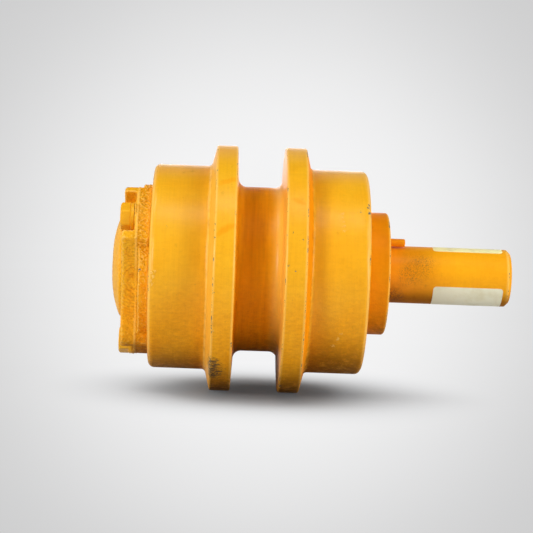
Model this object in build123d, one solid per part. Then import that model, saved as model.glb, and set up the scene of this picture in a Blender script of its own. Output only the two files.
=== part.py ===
from build123d import *
import os
from math import atan, cos, floor, pi, radians, sin, sqrt, tan

# A carrier roller for the upper run of a crawler's track chain, in millimetres.
# The spin axis is Y. The origin is on it, in the collar's outer face, where the mounting pin begins.
# The cover closes the -Y end, and the mounting pin stands out of the +Y end.
# A section is drawn as (radius, station). Stations run along Y from midway between the two
# flanges, and the finished pieces are moved along Y to the origin.

# Shell
SHELL_LENGTH = 211
TREAD_DIAMETER = 203
TREAD_EDGE_ROUNDING = 6
TREAD_ROOT_FILLET = 4
FLANGE_DIAMETER = 244.5
RIM_WIDTH = 20.6
RIM_GAP = 47
RIM_EDGE_ROUNDING = 2
FLANGE_OUTER_DRAFT = 14
FLANGE_INNER_DRAFT = 3
WAIST_DIAMETER = 164
WAIST_FILLET = 8
RESERVOIR_DIAMETER = 112
SHOULDER_WIDTH = 9
SHOULDER_HEIGHT = 5

# Tapered roller bearings, both the same
BEARING_BORE_DIAMETER = 50
BEARING_DIAMETER = 90
BEARING_WIDTH = 24.75
CUP_WIDTH = 19
CONE_WIDTH = 23
CUP_ANGLE = 15.6
CUP_WALL = 5.6
CONE_WALL = 5
LARGE_RIB_WIDTH = 3.6
SMALL_RIB_WIDTH = 2.2
LARGE_RIB_HEIGHT = 3
SMALL_RIB_HEIGHT = 1.2
BEARING_CHAMFER = 1.5
CUP_MOUTH_CHAMFER = 1
SMALL_RIB_BEVEL = 0.5
ROLLER_CLEARANCE = 0.15
ROLLER_PITCH_RATIO = 1.35
CAGE_THICKNESS = 1.3
CAGE_CLEARANCE = 0.25
CAGE_OFFSET_RATIO = 0.25
CAGE_END_WIDTH = 1.6
CUP_SPACING = 116

# Shaft, and the nut that holds the outer bearing on it
SHAFT_DIAMETER = 57
SHAFT_STANDOUT = 123.5
SHAFT_END_CHAMFER = 3.5
SHAFT_SHOULDER_DIAMETER = 66
SHAFT_RELIEF = 0.8
CENTRE_HOLE_DIAMETER = 12
CENTRE_HOLE_DEPTH = 16
CENTRE_CONE_ANGLE = 60
CENTRE_DRILL_DIAMETER = 6
DRILL_POINT_ANGLE = 118
KEYWAY_WIDTH = 6
KEYWAY_DEPTH = 2.4
KEYWAY_CLEARANCE = 0.2
LOCK_WASHER_THICKNESS = 1.25
LOCK_WASHER_RING = 6
LOCK_TAB_LENGTH = 5.5
LOCK_TAB_WIDTH = 5
LOCK_TAB_COUNT = 12
LOCK_NUT_DIAMETER = 70
LOCK_NUT_WIDTH = 11
LOCK_NUT_CHAMFER = 1
LOCK_NUT_BEVEL_WIDTH = 3
LOCK_NUT_BEVEL_LENGTH = 2
LOCK_NUT_SLOTS = 4
LOCK_NUT_SLOT_WIDTH = 6
LOCK_NUT_SLOT_DEPTH = 2.5
SHAFT_END_PROUD = 2

# Face seal and collar
COUNTERBORE_DEPTH = 8
COLLAR_DIAMETER = 122
COLLAR_EDGE_ROUNDING = 3
COLLAR_SIDE_CLEARANCE = 1.6
COLLAR_END_GAP = 2.2
COLLAR_WEB = 15.7
COLLAR_BORE_CHAMFER = 0.3
COLLAR_SEAT_STEP = 0.5
COLLAR_INNER_ROUNDING = 1
COLLAR_GROOVE_SETBACK = 5.2
SEAL_MOUTH_DIAMETER = 103
SEAL_SEAT_DEPTH = 12.5
SEAL_SEAT_ROUNDING = 1
SEAL_RAMP_ANGLE = 12
TORIC_SECTION = 8.2
TORIC_SQUEEZED = 7.2
SEAL_RING_BORE_CLEARANCE = 3.5
SEAL_RING_FLANGE = 4
SEAL_RING_BACK_GAP = 1.5
SEAL_RING_FLANGE_DIAMETER = 94
SEAL_BAND_WIDTH = 3
SEAL_BAND_RELIEF = 0.4
SEAL_FILM = 0.05
CUP_ENTRY_CLEARANCE = 1
DOWEL_DIAMETER = 8
DOWEL_STEM_STEP = 0.2
DOWEL_STANDOUT = 17.5
DOWEL_DEPTH = 12
DOWEL_WALL = 0.6
DOWEL_CHAMFER = 1
DOWEL_ANGLE = 72

# End cover and its fastenings
COVER_BASE_MARGIN = 5
COVER_BASE_THICKNESS = 10
COVER_FACE_HEIGHT = 27
COVER_FACE_ROUNDING = 3
COVER_FOOT_FILLET = 3
LOBE_COUNT = 3
LOBE_ANGLE = 42
LOBE_HALF_ANGLE = 21.5
LOBE_MARGIN = 13
LOBE_CORNER_ROUNDING = 3
SCOOP_RADIUS = 60
DOME_BASE_DIAMETER = 104
DOME_EDGE_HEIGHT = 3
DOME_EDGE_ROUNDING = 2.5
DOME_RISE = 11.5
DOME_FLAT_DIAMETER = 26
HOLLOW_FLAT_DIAMETER = 52
HOLLOW_EDGE_ROUNDING = 4
HOLLOW_CROWN_ROUNDING = 8
COVER_WALL = 9
POCKET_WIDTH = 48
POCKET_FLOOR_HEIGHT = 14.6
POCKET_FLOOR_FILLET = 2
BOSS_DIAMETER = 29
BOSS_HEIGHT = 1.2
BOLT_DIAMETER = 16
BOLT_TO_PILOT_WALL = 5
BOLT_HEAD_WIDTH = 24
BOLT_HEAD_HEIGHT = 10
BOLT_CROWN_ANGLE = 30
BOLT_CROWN_INSET = 0.6
BOLT_ENGAGEMENT = 25
BOLT_HOLE_CLEARANCE = 0.8
BOLT_TURN = 14
TAPPING_RUNOUT = 3
WASHER_DIAMETER = 27.4
WASHER_THICKNESS = 3.5
WASHER_CLEARANCE = 0.3
WASHER_SPLIT = 1.6
WASHER_TURN = 200
PILOT_DIAMETER = 124
PILOT_CLEARANCE = 0.1
PILOT_LENGTH = 8
PILOT_EDGE_ROUNDING = 1
PILOT_END_GAP = 2
O_RING_WIDTH = 3.4
O_RING_SQUEEZED = 2.7
O_RING_ROUNDING = 1
O_RING_GROOVE_WIDTH = 4.4
PLUG_DIAMETER = 18
PLUG_LENGTH = 8
PLUG_SOCKET_WIDTH = 8
PLUG_SOCKET_DEPTH = 5
PLUG_SUNK = 0.5

# Radii and stations that several pieces share
tread = TREAD_DIAMETER / 2
flange = FLANGE_DIAMETER / 2
waist = WAIST_DIAMETER / 2
shell_face = SHELL_LENGTH / 2
rim_inside = RIM_GAP / 2
rim_outside = rim_inside + RIM_WIDTH
cup_outside = BEARING_DIAMETER / 2
cup_entry = cup_outside + CUP_ENTRY_CLEARANCE
journal = BEARING_BORE_DIAMETER / 2
cup_back = CUP_SPACING / 2
cup_front = cup_back + CUP_WIDTH
cone_back = cup_back + BEARING_WIDTH
cone_front = cone_back - CONE_WIDTH
counterbore_floor = shell_face - COUNTERBORE_DEPTH
seal_seat_floor = counterbore_floor - SEAL_SEAT_DEPTH
seal_plane = counterbore_floor + COLLAR_END_GAP / 2
seal_mouth = SEAL_MOUTH_DIAMETER / 2
seal_slope = tan(radians(SEAL_RAMP_ANGLE))
seal_face = seal_plane - SEAL_FILM / 2
seal_flange_back = seal_face - SEAL_RING_FLANGE
toric_station = (seal_seat_floor + seal_flange_back) / 2
collar_start = counterbore_floor + COLLAR_END_GAP
web_start = collar_start + SEAL_SEAT_DEPTH
collar_groove = web_start + COLLAR_GROOVE_SETBACK
collar_face = web_start + COLLAR_WEB
collar = COLLAR_DIAMETER / 2
mounting_pin = SHAFT_DIAMETER / 2
shaft_shoulder = SHAFT_SHOULDER_DIAMETER / 2
shaft_end = collar_face + SHAFT_STANDOUT
nut_start = cone_back + LOCK_WASHER_THICKNESS
threaded_end = nut_start + LOCK_NUT_WIDTH + SHAFT_END_PROUD
collar_seat = mounting_pin + COLLAR_SEAT_STEP
dowel_stem = DOWEL_DIAMETER / 2 + DOWEL_STEM_STEP
dowel_radius = collar_seat + DOWEL_WALL + dowel_stem
pilot = PILOT_DIAMETER / 2
pilot_floor = shell_face - PILOT_LENGTH - PILOT_END_GAP
pilot_groove = shell_face - PILOT_LENGTH / 2
bolt_circle = pilot + BOLT_TO_PILOT_WALL + BOLT_DIAMETER / 2
cover_base = bolt_circle + COVER_BASE_MARGIN
lobe_radius = bolt_circle + LOBE_MARGIN
seat_height = POCKET_FLOOR_HEIGHT + BOSS_HEIGHT
dome_height = COVER_FACE_HEIGHT + DOME_RISE
lobe_angles = [LOBE_ANGLE + turn * 360 / LOBE_COUNT for turn in range(LOBE_COUNT)]

# Lines of the tapered bearing: cup track, cone track and roller axis meet at one apex on the axis.
cup_track = cup_outside - CUP_WALL
cone_track = journal + CONE_WALL
roller_station = (cone_front + SMALL_RIB_WIDTH + cone_back - LARGE_RIB_WIDTH) / 2
apex_distance = cup_track / tan(radians(CUP_ANGLE))
apex = roller_station - apex_distance
cone_angle = atan(cone_track / apex_distance)
roller_tilt = (radians(CUP_ANGLE) + cone_angle) / 2
roller_taper = (radians(CUP_ANGLE) - cone_angle) / 2
pitch_radius = apex_distance * tan(roller_tilt)
axis_length = pitch_radius / sin(roller_tilt)
roller_radius = axis_length * tan(roller_taper)
rib_spacing = (CONE_WIDTH - SMALL_RIB_WIDTH - LARGE_RIB_WIDTH) / cos(cone_angle)
roller_length = rib_spacing - 2 * ROLLER_CLEARANCE
roller_count = floor(2 * pi * pitch_radius / (ROLLER_PITCH_RATIO * 2 * roller_radius))

cover_plane = Plane.XZ.offset(shell_face)

# Half the depth of the slice in which edges count as lying in one plane
TOUCH = 0.01

# A hexagon's width across its corners over its width across its flats
ACROSS_CORNERS = 2 / sqrt(3)


def turned(*corners):
    """Solid turned about the spin axis from its section's corners (radius, station, rounding)."""
    roundings = [corner[2] if len(corner) == 3 else 0 for corner in corners]
    section = FilletPolyline(*[corner[:2] for corner in corners], radius=roundings, close=True)
    return revolve(make_face(section), Axis.Y)


def polar(radius, angle):
    """Point at a radius and an angle in degrees in a plane's own axes."""
    return radius * cos(radians(angle)), radius * sin(radians(angle))


def on_lobes(sketch, height, start=0):
    """Copies of one lobe's sketch, raised from a height above the shell's end face."""
    plane = cover_plane.offset(start)
    return [extrude(plane * Rot(Z=angle) * sketch, height) for angle in lobe_angles]


def mirrored(solid):
    """The same piece at the outer bearing, which faces the other way."""
    return mirror(solid, Plane.XZ)


def seal_seat(mouth_station, direction):
    """Corners of a tapered seat for a toric ring, from its mouth to its floor."""
    floor_radius = seal_mouth - SEAL_SEAT_DEPTH * seal_slope
    return [(seal_mouth, mouth_station), (floor_radius, mouth_station + direction * SEAL_SEAT_DEPTH, SEAL_SEAT_ROUNDING)]


def roller_shell():
    """Shell with two treads, two flanges, bearing seats and a seat for the face seal."""
    outer_root = rim_outside + (flange - tread) * tan(radians(FLANGE_OUTER_DRAFT))
    inner_root = rim_inside - (flange - waist) * tan(radians(FLANGE_INNER_DRAFT))
    half_outside = [
        (waist, inner_root, WAIST_FILLET),
        (flange, rim_inside, RIM_EDGE_ROUNDING),
        (flange, rim_outside, RIM_EDGE_ROUNDING),
        (tread, outer_root, TREAD_ROOT_FILLET),
        (tread, shell_face, TREAD_EDGE_ROUNDING),
    ]
    other_outside = [(radius, -station, rounding) for radius, station, rounding in half_outside]
    counterbore = collar + COLLAR_SIDE_CLEARANCE
    seal_end = [
        (counterbore, shell_face),
        (counterbore, counterbore_floor),
        *seal_seat(counterbore_floor, -1),
        (cup_entry, seal_seat_floor),
        (cup_entry, cup_front),
        (cup_outside, cup_front),
    ]
    shoulder = cup_outside - SHOULDER_HEIGHT
    reservoir = RESERVOIR_DIAMETER / 2
    middle = [
        (cup_outside, cup_back),
        (shoulder, cup_back),
        (shoulder, cup_back - SHOULDER_WIDTH),
        (reservoir, cup_back - SHOULDER_WIDTH - (reservoir - shoulder)),
    ]
    other_middle = [(radius, -station) for radius, station in reversed(middle)]
    cover_end = [
        (cup_outside, -cup_front),
        (cup_entry, -cup_front),
        (cup_entry, -pilot_floor),
        (pilot, -pilot_floor),
        (pilot, -shell_face),
    ]
    shell = turned(*reversed(other_outside), *half_outside, *seal_end, *middle, *other_middle, *cover_end)
    tapped_hole = Pos(bolt_circle, 0) * Circle(BOLT_DIAMETER / 2)
    depth = BOLT_ENGAGEMENT + TAPPING_RUNOUT
    return shell - on_lobes(tapped_hole, depth, -depth)


def cover_outline():
    """Plan of the cover's raised part: arcs round the lobes, scooped in between them."""
    arcs = []
    spacing = 360 / LOBE_COUNT
    for angle in lobe_angles:
        start = angle - LOBE_HALF_ANGLE
        end = angle + LOBE_HALF_ANGLE
        lobe_end = polar(lobe_radius, end)
        arcs.append(ThreePointArc(polar(lobe_radius, start), polar(lobe_radius, angle), lobe_end))
        middle = polar(SCOOP_RADIUS, angle + spacing / 2)
        arcs.append(ThreePointArc(lobe_end, middle, polar(lobe_radius, start + spacing)))
    outline = make_face(arcs)
    return fillet(outline.vertices(), LOBE_CORNER_ROUNDING)


def raised_body():
    """The cover's base disc with the lobed part on it, filleted where they meet."""
    outline = cover_plane * cover_outline()
    raised = extrude(outline, COVER_FACE_HEIGHT)
    raised = fillet(raised.faces().sort_by(Axis.Y)[0].edges(), COVER_FACE_ROUNDING)
    joined = raised + extrude(cover_plane * Circle(2 * lobe_radius), COVER_BASE_THICKNESS)
    ledge = -shell_face - COVER_BASE_THICKNESS
    on_ledge = joined.edges().filter_by_position(Axis.Y, ledge - TOUCH, ledge + TOUCH)
    foot = on_ledge.sort_by(SortBy.LENGTH)[:-1]
    joined = fillet(foot, COVER_FOOT_FILLET)
    base_plan = Circle(cover_base) + cover_outline()
    return joined & extrude(cover_plane * base_plan, COVER_FACE_HEIGHT)


def dome():
    """Low dome in the middle of the cover, with a flat for the plug."""
    flat = DOME_FLAT_DIAMETER / 2
    base = DOME_BASE_DIAMETER / 2
    tip_station = -shell_face - dome_height
    edge_station = -shell_face - COVER_FACE_HEIGHT - DOME_EDGE_HEIGHT
    crown = TangentArc((flat, tip_station), (base, edge_station), tangent=(1, 0))
    section = make_face([
        Line((0, -shell_face), (0, tip_station)),
        Line((0, tip_station), (flat, tip_station)),
        crown,
        Line((base, edge_station), (base, -shell_face)),
        Line((base, -shell_face), (0, -shell_face)),
    ])
    edge = section.vertices().sort_by_distance((base, edge_station))[0]
    return revolve(fillet(edge, DOME_EDGE_ROUNDING), Axis.Y)


def end_cover():
    """Cast cover: a base disc, three lobes with a pocket for each bolt, a dome and a pilot."""
    pocket_plan = Pos(bolt_circle, 0) * Circle(POCKET_WIDTH / 2)
    pocket_plan += Pos(bolt_circle + lobe_radius / 2, 0) * Rectangle(lobe_radius, POCKET_WIDTH)
    pockets = on_lobes(pocket_plan, dome_height, POCKET_FLOOR_HEIGHT)
    pockets = [fillet(pocket.faces().sort_by(Axis.Y)[-1].edges(), POCKET_FLOOR_FILLET) for pocket in pockets]
    bosses = on_lobes(Pos(bolt_circle, 0) * Circle(BOSS_DIAMETER / 2), BOSS_HEIGHT, POCKET_FLOOR_HEIGHT)
    hole = Pos(bolt_circle, 0) * Circle(BOLT_DIAMETER / 2 + BOLT_HOLE_CLEARANCE)
    holes = on_lobes(hole, seat_height)
    spigot = pilot - PILOT_CLEARANCE
    spigot_end = -shell_face + PILOT_LENGTH
    pilot_ring = turned(
        (0, -shell_face),
        (0, spigot_end),
        (spigot, spigot_end, PILOT_EDGE_ROUNDING),
        (spigot, -shell_face),
    )
    hollow_radius = DOME_BASE_DIAMETER / 2
    hollow_step = -shell_face - COVER_FACE_HEIGHT + COVER_WALL * 2
    hollow_end = -shell_face - dome_height + COVER_WALL
    hollow = turned(
        (0, spigot_end),
        (hollow_radius, spigot_end),
        (hollow_radius, hollow_step, HOLLOW_EDGE_ROUNDING),
        (HOLLOW_FLAT_DIAMETER / 2, hollow_end, HOLLOW_CROWN_ROUNDING),
        (0, hollow_end),
    )
    groove = turned(
        (pilot - O_RING_SQUEEZED, -pilot_groove - O_RING_GROOVE_WIDTH / 2),
        (pilot, -pilot_groove - O_RING_GROOVE_WIDTH / 2),
        (pilot, -pilot_groove + O_RING_GROOVE_WIDTH / 2),
        (pilot - O_RING_SQUEEZED, -pilot_groove + O_RING_GROOVE_WIDTH / 2),
    )
    plug_hole = extrude(cover_plane * Circle(PLUG_DIAMETER / 2), dome_height)
    cover = raised_body() + dome() + pilot_ring
    return cover - pockets + bosses - holes - hollow - groove - plug_hole


def o_ring(bore_radius, middle_station):
    """O-ring squeezed flat against the two round surfaces that it seals."""
    outside = bore_radius + O_RING_SQUEEZED
    start = middle_station - O_RING_WIDTH / 2
    end = middle_station + O_RING_WIDTH / 2
    return turned(
        (bore_radius, start, O_RING_ROUNDING),
        (outside, start, O_RING_ROUNDING),
        (outside, end, O_RING_ROUNDING),
        (bore_radius, end, O_RING_ROUNDING),
    )


def cover_bolts():
    """Hex bolts of the cover, their heads chamfered at the top."""
    head_corner = BOLT_HEAD_WIDTH / 2 * ACROSS_CORNERS
    head_plan = Pos(bolt_circle, 0) * Rot(Z=BOLT_TURN) * RegularPolygon(head_corner, 6)
    head_start = seat_height + WASHER_THICKNESS
    shank_plan = Pos(bolt_circle, 0) * Circle(BOLT_DIAMETER / 2)
    shank_length = head_start + BOLT_ENGAGEMENT
    heads = on_lobes(head_plan, BOLT_HEAD_HEIGHT, head_start)
    shanks = on_lobes(shank_plan, shank_length, -BOLT_ENGAGEMENT)
    crown_top = BOLT_HEAD_WIDTH / 2 - BOLT_CROWN_INSET
    crown_base = crown_top + BOLT_HEAD_HEIGHT / tan(radians(BOLT_CROWN_ANGLE))
    upright = (Align.CENTER, Align.CENTER, Align.MIN)
    bolts = []
    for angle, head, shank in zip(lobe_angles, heads, shanks):
        axis_place = cover_plane.offset(head_start) * Rot(Z=angle) * Pos(bolt_circle, 0)
        crown = Cone(crown_base, crown_top, BOLT_HEAD_HEIGHT, align=upright)
        bolts.append((axis_place * crown & head) + shank)
    return Compound(children=bolts)


def cover_washers():
    """Split lock washers under the cover bolts."""
    ring = Circle(WASHER_DIAMETER / 2) - Circle(BOLT_DIAMETER / 2 + WASHER_CLEARANCE)
    split = Pos(WASHER_DIAMETER / 2, 0) * Rectangle(WASHER_DIAMETER, WASHER_SPLIT)
    plan = Pos(bolt_circle, 0) * Rot(Z=WASHER_TURN) * (ring - split)
    return Compound(children=on_lobes(plan, WASHER_THICKNESS, seat_height))


def cover_plug():
    """Oil plug with a hexagon socket, sunk in the dome's flat."""
    outside = dome_height - PLUG_SUNK
    plug = extrude(cover_plane.offset(outside - PLUG_LENGTH) * Circle(PLUG_DIAMETER / 2), PLUG_LENGTH)
    socket_plan = RegularPolygon(PLUG_SOCKET_WIDTH / 2 * ACROSS_CORNERS, 6)
    return plug - extrude(cover_plane.offset(outside - PLUG_SOCKET_DEPTH) * socket_plan, PLUG_SOCKET_DEPTH)


def shaft():
    """Stepped shaft: thread and journals inside the shell, shoulder, and the mounting pin."""
    relief = journal - SHAFT_RELIEF
    groove_start = collar_groove - O_RING_GROOVE_WIDTH / 2
    groove_end = collar_groove + O_RING_GROOVE_WIDTH / 2
    body = turned(
        (0, -threaded_end),
        (journal - BEARING_CHAMFER, -threaded_end),
        (journal, -threaded_end + BEARING_CHAMFER),
        (journal, -cup_back),
        (relief, -cup_back + SHAFT_RELIEF),
        (relief, cup_back - SHAFT_RELIEF),
        (journal, cup_back),
        (journal, cone_back),
        (shaft_shoulder, cone_back),
        (shaft_shoulder, web_start),
        (collar_seat, web_start),
        (collar_seat, groove_start),
        (collar_seat - O_RING_SQUEEZED, groove_start),
        (collar_seat - O_RING_SQUEEZED, groove_end),
        (collar_seat, groove_end),
        (collar_seat, collar_face),
        (mounting_pin, collar_face),
        (mounting_pin, shaft_end - SHAFT_END_CHAMFER),
        (mounting_pin - SHAFT_END_CHAMFER, shaft_end),
        (0, shaft_end),
    )
    keyway = Pos(0, -threaded_end, journal) * Box(
        KEYWAY_WIDTH,
        threaded_end - cone_back + LOCK_NUT_WIDTH,
        2 * KEYWAY_DEPTH,
        align=(Align.CENTER, Align.MIN, Align.CENTER),
    )
    hole_radius = CENTRE_HOLE_DIAMETER / 2
    drill_radius = CENTRE_DRILL_DIAMETER / 2
    cone_depth = (hole_radius - drill_radius) / tan(radians(CENTRE_CONE_ANGLE / 2))
    point_depth = drill_radius / tan(radians(DRILL_POINT_ANGLE / 2))
    centre_holes = [
        turned(
            (0, end),
            (hole_radius, end),
            (drill_radius, end - side * cone_depth),
            (drill_radius, end - side * CENTRE_HOLE_DEPTH),
            (0, end - side * (CENTRE_HOLE_DEPTH + point_depth)),
        )
        for end, side in ((shaft_end, 1), (-threaded_end, -1))
    ]
    return body - keyway - centre_holes


def lock_washer():
    """Tabbed washer: one tab in the shaft's keyway, one bent over into a slot of the nut."""
    ring_outside = journal + LOCK_WASHER_RING
    reach = ring_outside + LOCK_TAB_LENGTH
    from_centre = (Align.MIN, Align.CENTER)
    plan = Circle(ring_outside)
    for tab in range(LOCK_TAB_COUNT):
        plan += Rot(Z=tab * 360 / LOCK_TAB_COUNT) * Rectangle(reach, LOCK_TAB_WIDTH, align=from_centre)
    plan -= Circle(journal)
    key_tab = Pos(journal - KEYWAY_DEPTH + KEYWAY_CLEARANCE, 0) * Rectangle(
        KEYWAY_DEPTH + LOCK_WASHER_RING / 2, KEYWAY_WIDTH - 2 * KEYWAY_CLEARANCE, align=from_centre
    )
    plan += Rot(Z=90) * key_tab
    washer = extrude(Plane.XZ.offset(cone_back) * plan, LOCK_WASHER_THICKNESS)
    tab_inside = LOCK_NUT_DIAMETER / 2 - LOCK_NUT_SLOT_DEPTH + KEYWAY_CLEARANCE
    bent_tab = Pos(0, -cone_back, -tab_inside) * Box(
        LOCK_TAB_WIDTH,
        LOCK_TAB_LENGTH,
        LOCK_WASHER_THICKNESS,
        align=(Align.CENTER, Align.MAX, Align.MAX),
    )
    cut_tab = Pos(0, -cone_back, -tab_inside - LOCK_WASHER_THICKNESS) * Box(
        2 * LOCK_TAB_WIDTH,
        2 * LOCK_TAB_LENGTH,
        2 * LOCK_TAB_LENGTH,
        align=(Align.CENTER, Align.CENTER, Align.MAX),
    )
    return washer - cut_tab + bent_tab


def lock_nut():
    """Slotted round nut that presses the outer bearing's cone home."""
    outside = LOCK_NUT_DIAMETER / 2
    nut = turned(
        (journal, -nut_start),
        (outside - LOCK_NUT_CHAMFER, -nut_start),
        (outside, -nut_start - LOCK_NUT_CHAMFER),
        (outside, -nut_start - LOCK_NUT_WIDTH + LOCK_NUT_BEVEL_LENGTH),
        (outside - LOCK_NUT_BEVEL_WIDTH, -nut_start - LOCK_NUT_WIDTH),
        (journal, -nut_start - LOCK_NUT_WIDTH),
    )
    slot_plan = Pos(outside, 0) * Rectangle(2 * LOCK_NUT_SLOT_DEPTH, LOCK_NUT_SLOT_WIDTH)
    for slot in range(LOCK_NUT_SLOTS):
        nut -= extrude(Plane.XZ.offset(nut_start) * Rot(Z=slot * 360 / LOCK_NUT_SLOTS) * slot_plan, LOCK_NUT_WIDTH)
    return nut


def along_roller(along, outward):
    """Section point given along the inner bearing's roller axis and outward from it."""
    radius = pitch_radius + along * sin(roller_tilt) + outward * cos(roller_tilt)
    station = roller_station + along * cos(roller_tilt) - outward * sin(roller_tilt)
    return radius, station


def track_depth(along):
    """Distance from the roller axis to either track, at a place along the axis."""
    return (axis_length + along) * tan(roller_taper)


def bearing_cup():
    """Cup of the inner bearing, its track opening towards the shell's end."""
    slope = tan(radians(CUP_ANGLE))
    return turned(
        (cup_outside - BEARING_CHAMFER, cup_back),
        (cup_outside, cup_back + BEARING_CHAMFER),
        (cup_outside, cup_front - CUP_MOUTH_CHAMFER),
        (cup_outside - CUP_MOUTH_CHAMFER, cup_front),
        ((cup_front - apex) * slope, cup_front),
        ((cup_back - apex) * slope, cup_back),
    )


def bearing_cone():
    """Cone of the inner bearing, with a rib at each end of its track."""
    end = roller_length / 2 + ROLLER_CLEARANCE
    small_rib = along_roller(-end, -track_depth(-end) + SMALL_RIB_HEIGHT)
    large_rib = along_roller(end, -track_depth(end) + LARGE_RIB_HEIGHT)
    return turned(
        (journal, cone_front),
        (small_rib[0] - SMALL_RIB_BEVEL, cone_front),
        small_rib,
        along_roller(-end, -track_depth(-end)),
        along_roller(end, -track_depth(end)),
        large_rib,
        (large_rib[0], cone_back),
        (journal + BEARING_CHAMFER, cone_back),
        (journal, cone_back - BEARING_CHAMFER),
    )


def roller_blanks(clearance):
    """Tapered rollers round the inner bearing, smaller all round by a clearance."""
    half = roller_length / 2 + ROLLER_CLEARANCE - clearance
    blank = Cone(
        track_depth(-half) - clearance,
        track_depth(half) - clearance,
        2 * half,
    )
    place = Plane(
        origin=(pitch_radius, roller_station, 0),
        x_dir=(0, 0, 1),
        z_dir=(sin(roller_tilt), cos(roller_tilt), 0),
    )
    first = place * blank
    return [Rot(Y=turn * 360 / roller_count) * first for turn in range(roller_count)]


def bearing_rollers():
    """The bearing's tapered rollers, each a loose solid in its cage window."""
    return Compound(children=roller_blanks(ROLLER_CLEARANCE))


def bearing_cage():
    """Pressed cage: a tapered band outside the rollers' axes, windowed, turned in at the small end."""
    inner = roller_radius * CAGE_OFFSET_RATIO
    outer = inner + CAGE_THICKNESS
    half = roller_length / 2
    small_end = -half - CAGE_END_WIDTH
    large_end = half + CAGE_END_WIDTH
    band = turned(
        along_roller(small_end - CAGE_THICKNESS, outer),
        along_roller(large_end, outer),
        along_roller(large_end, inner),
        along_roller(small_end, inner),
        along_roller(small_end, -inner),
        along_roller(small_end - CAGE_THICKNESS, -inner),
    )
    return band - roller_blanks(ROLLER_CLEARANCE - CAGE_CLEARANCE)


def ramp_radius(station):
    """Radius of the shell's tapered toric seat at a station."""
    return seal_mouth - (counterbore_floor - station) * seal_slope


def toric_ring():
    """Rubber ring of the face seal, squeezed between the shell's seat and the metal ring."""
    middle_radius = ramp_radius(toric_station) - TORIC_SQUEEZED / 2 / cos(radians(SEAL_RAMP_ANGLE))
    squeezed = Circle(TORIC_SECTION / 2) & Rectangle(TORIC_SQUEEZED, TORIC_SECTION)
    return revolve(Pos(middle_radius, toric_station) * Rot(Z=-SEAL_RAMP_ANGLE) * squeezed, Axis.Y)


def seal_ring():
    """Metal ring of the face seal, with its polished band at the seal plane."""
    toric_thickness = TORIC_SQUEEZED / cos(radians(SEAL_RAMP_ANGLE))
    bore = shaft_shoulder + SEAL_RING_BORE_CLEARANCE
    back = seal_seat_floor + SEAL_RING_BACK_GAP
    flange_radius = SEAL_RING_FLANGE_DIAMETER / 2
    return turned(
        (bore, back),
        (ramp_radius(back) - toric_thickness, back),
        (ramp_radius(seal_flange_back) - toric_thickness, seal_flange_back),
        (flange_radius, seal_flange_back),
        (flange_radius, seal_face),
        (flange_radius - SEAL_BAND_WIDTH, seal_face),
        (bore, seal_face - SEAL_BAND_RELIEF),
    )


def across_seal(solid):
    """The stationary half of the face seal, mirrored in the seal plane."""
    return mirror(solid, Plane.XZ.offset(-seal_plane))


def seal_collar():
    """Collar on the shaft that holds the stationary half of the face seal."""
    body = turned(
        *seal_seat(collar_start, 1),
        (collar_seat, web_start),
        (collar_seat, collar_face - COLLAR_BORE_CHAMFER),
        (collar_seat + COLLAR_BORE_CHAMFER, collar_face),
        (collar, collar_face, COLLAR_EDGE_ROUNDING),
        (collar, collar_start, COLLAR_INNER_ROUNDING),
    )
    dowel_place = Plane.XZ.offset(-collar_face) * Pos(*polar(dowel_radius, DOWEL_ANGLE))
    return body - extrude(dowel_place * Circle(dowel_stem), DOWEL_DEPTH)


def dowel_pin():
    """Stepped dowel, its wider stem pressed in flush with the collar's face above the shaft."""
    start = collar_face - DOWEL_DEPTH
    end = collar_face + DOWEL_STANDOUT
    radius = DOWEL_DIAMETER / 2
    pin = turned(
        (0, start),
        (dowel_stem, start),
        (dowel_stem, collar_face),
        (radius, collar_face),
        (radius, end - DOWEL_CHAMFER),
        (radius - DOWEL_CHAMFER, end),
        (0, end),
    )
    across, up = polar(dowel_radius, DOWEL_ANGLE)
    return Pos(across, 0, up) * pin


def build():
    """Every piece of the roller by its name."""
    cup = bearing_cup()
    cone = bearing_cone()
    cage = bearing_cage()
    rollers = bearing_rollers()
    rotating_seal = seal_ring()
    rotating_toric = toric_ring()
    return {
        "roller_shell": roller_shell(),
        "end_cover": end_cover(),
        "cover_bolts": cover_bolts(),
        "cover_washers": cover_washers(),
        "cover_plug": cover_plug(),
        "cover_o_ring": o_ring(pilot - O_RING_SQUEEZED, -pilot_groove),
        "shaft": shaft(),
        "lock_washer": lock_washer(),
        "bearing_lock_nut": lock_nut(),
        "inner_bearing_cup": cup,
        "inner_bearing_cone": cone,
        "inner_bearing_cage": cage,
        "inner_bearing_rollers": rollers,
        "outer_bearing_cup": mirrored(cup),
        "outer_bearing_cone": mirrored(cone),
        "outer_bearing_cage": mirrored(cage),
        "outer_bearing_rollers": mirrored(rollers),
        "rotating_seal_ring": rotating_seal,
        "rotating_toric_ring": rotating_toric,
        "stationary_seal_ring": across_seal(rotating_seal),
        "stationary_toric_ring": across_seal(rotating_toric),
        "seal_collar": seal_collar(),
        "collar_o_ring": o_ring(collar_seat - O_RING_SQUEEZED, collar_groove),
        "dowel_pin": dowel_pin(),
    }


os.makedirs("parts", exist_ok=True)
to_origin = Pos(0, -collar_face, 0)
for name, piece in build().items():
    export_step(to_origin * piece, f"parts/{name}.step")
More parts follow.
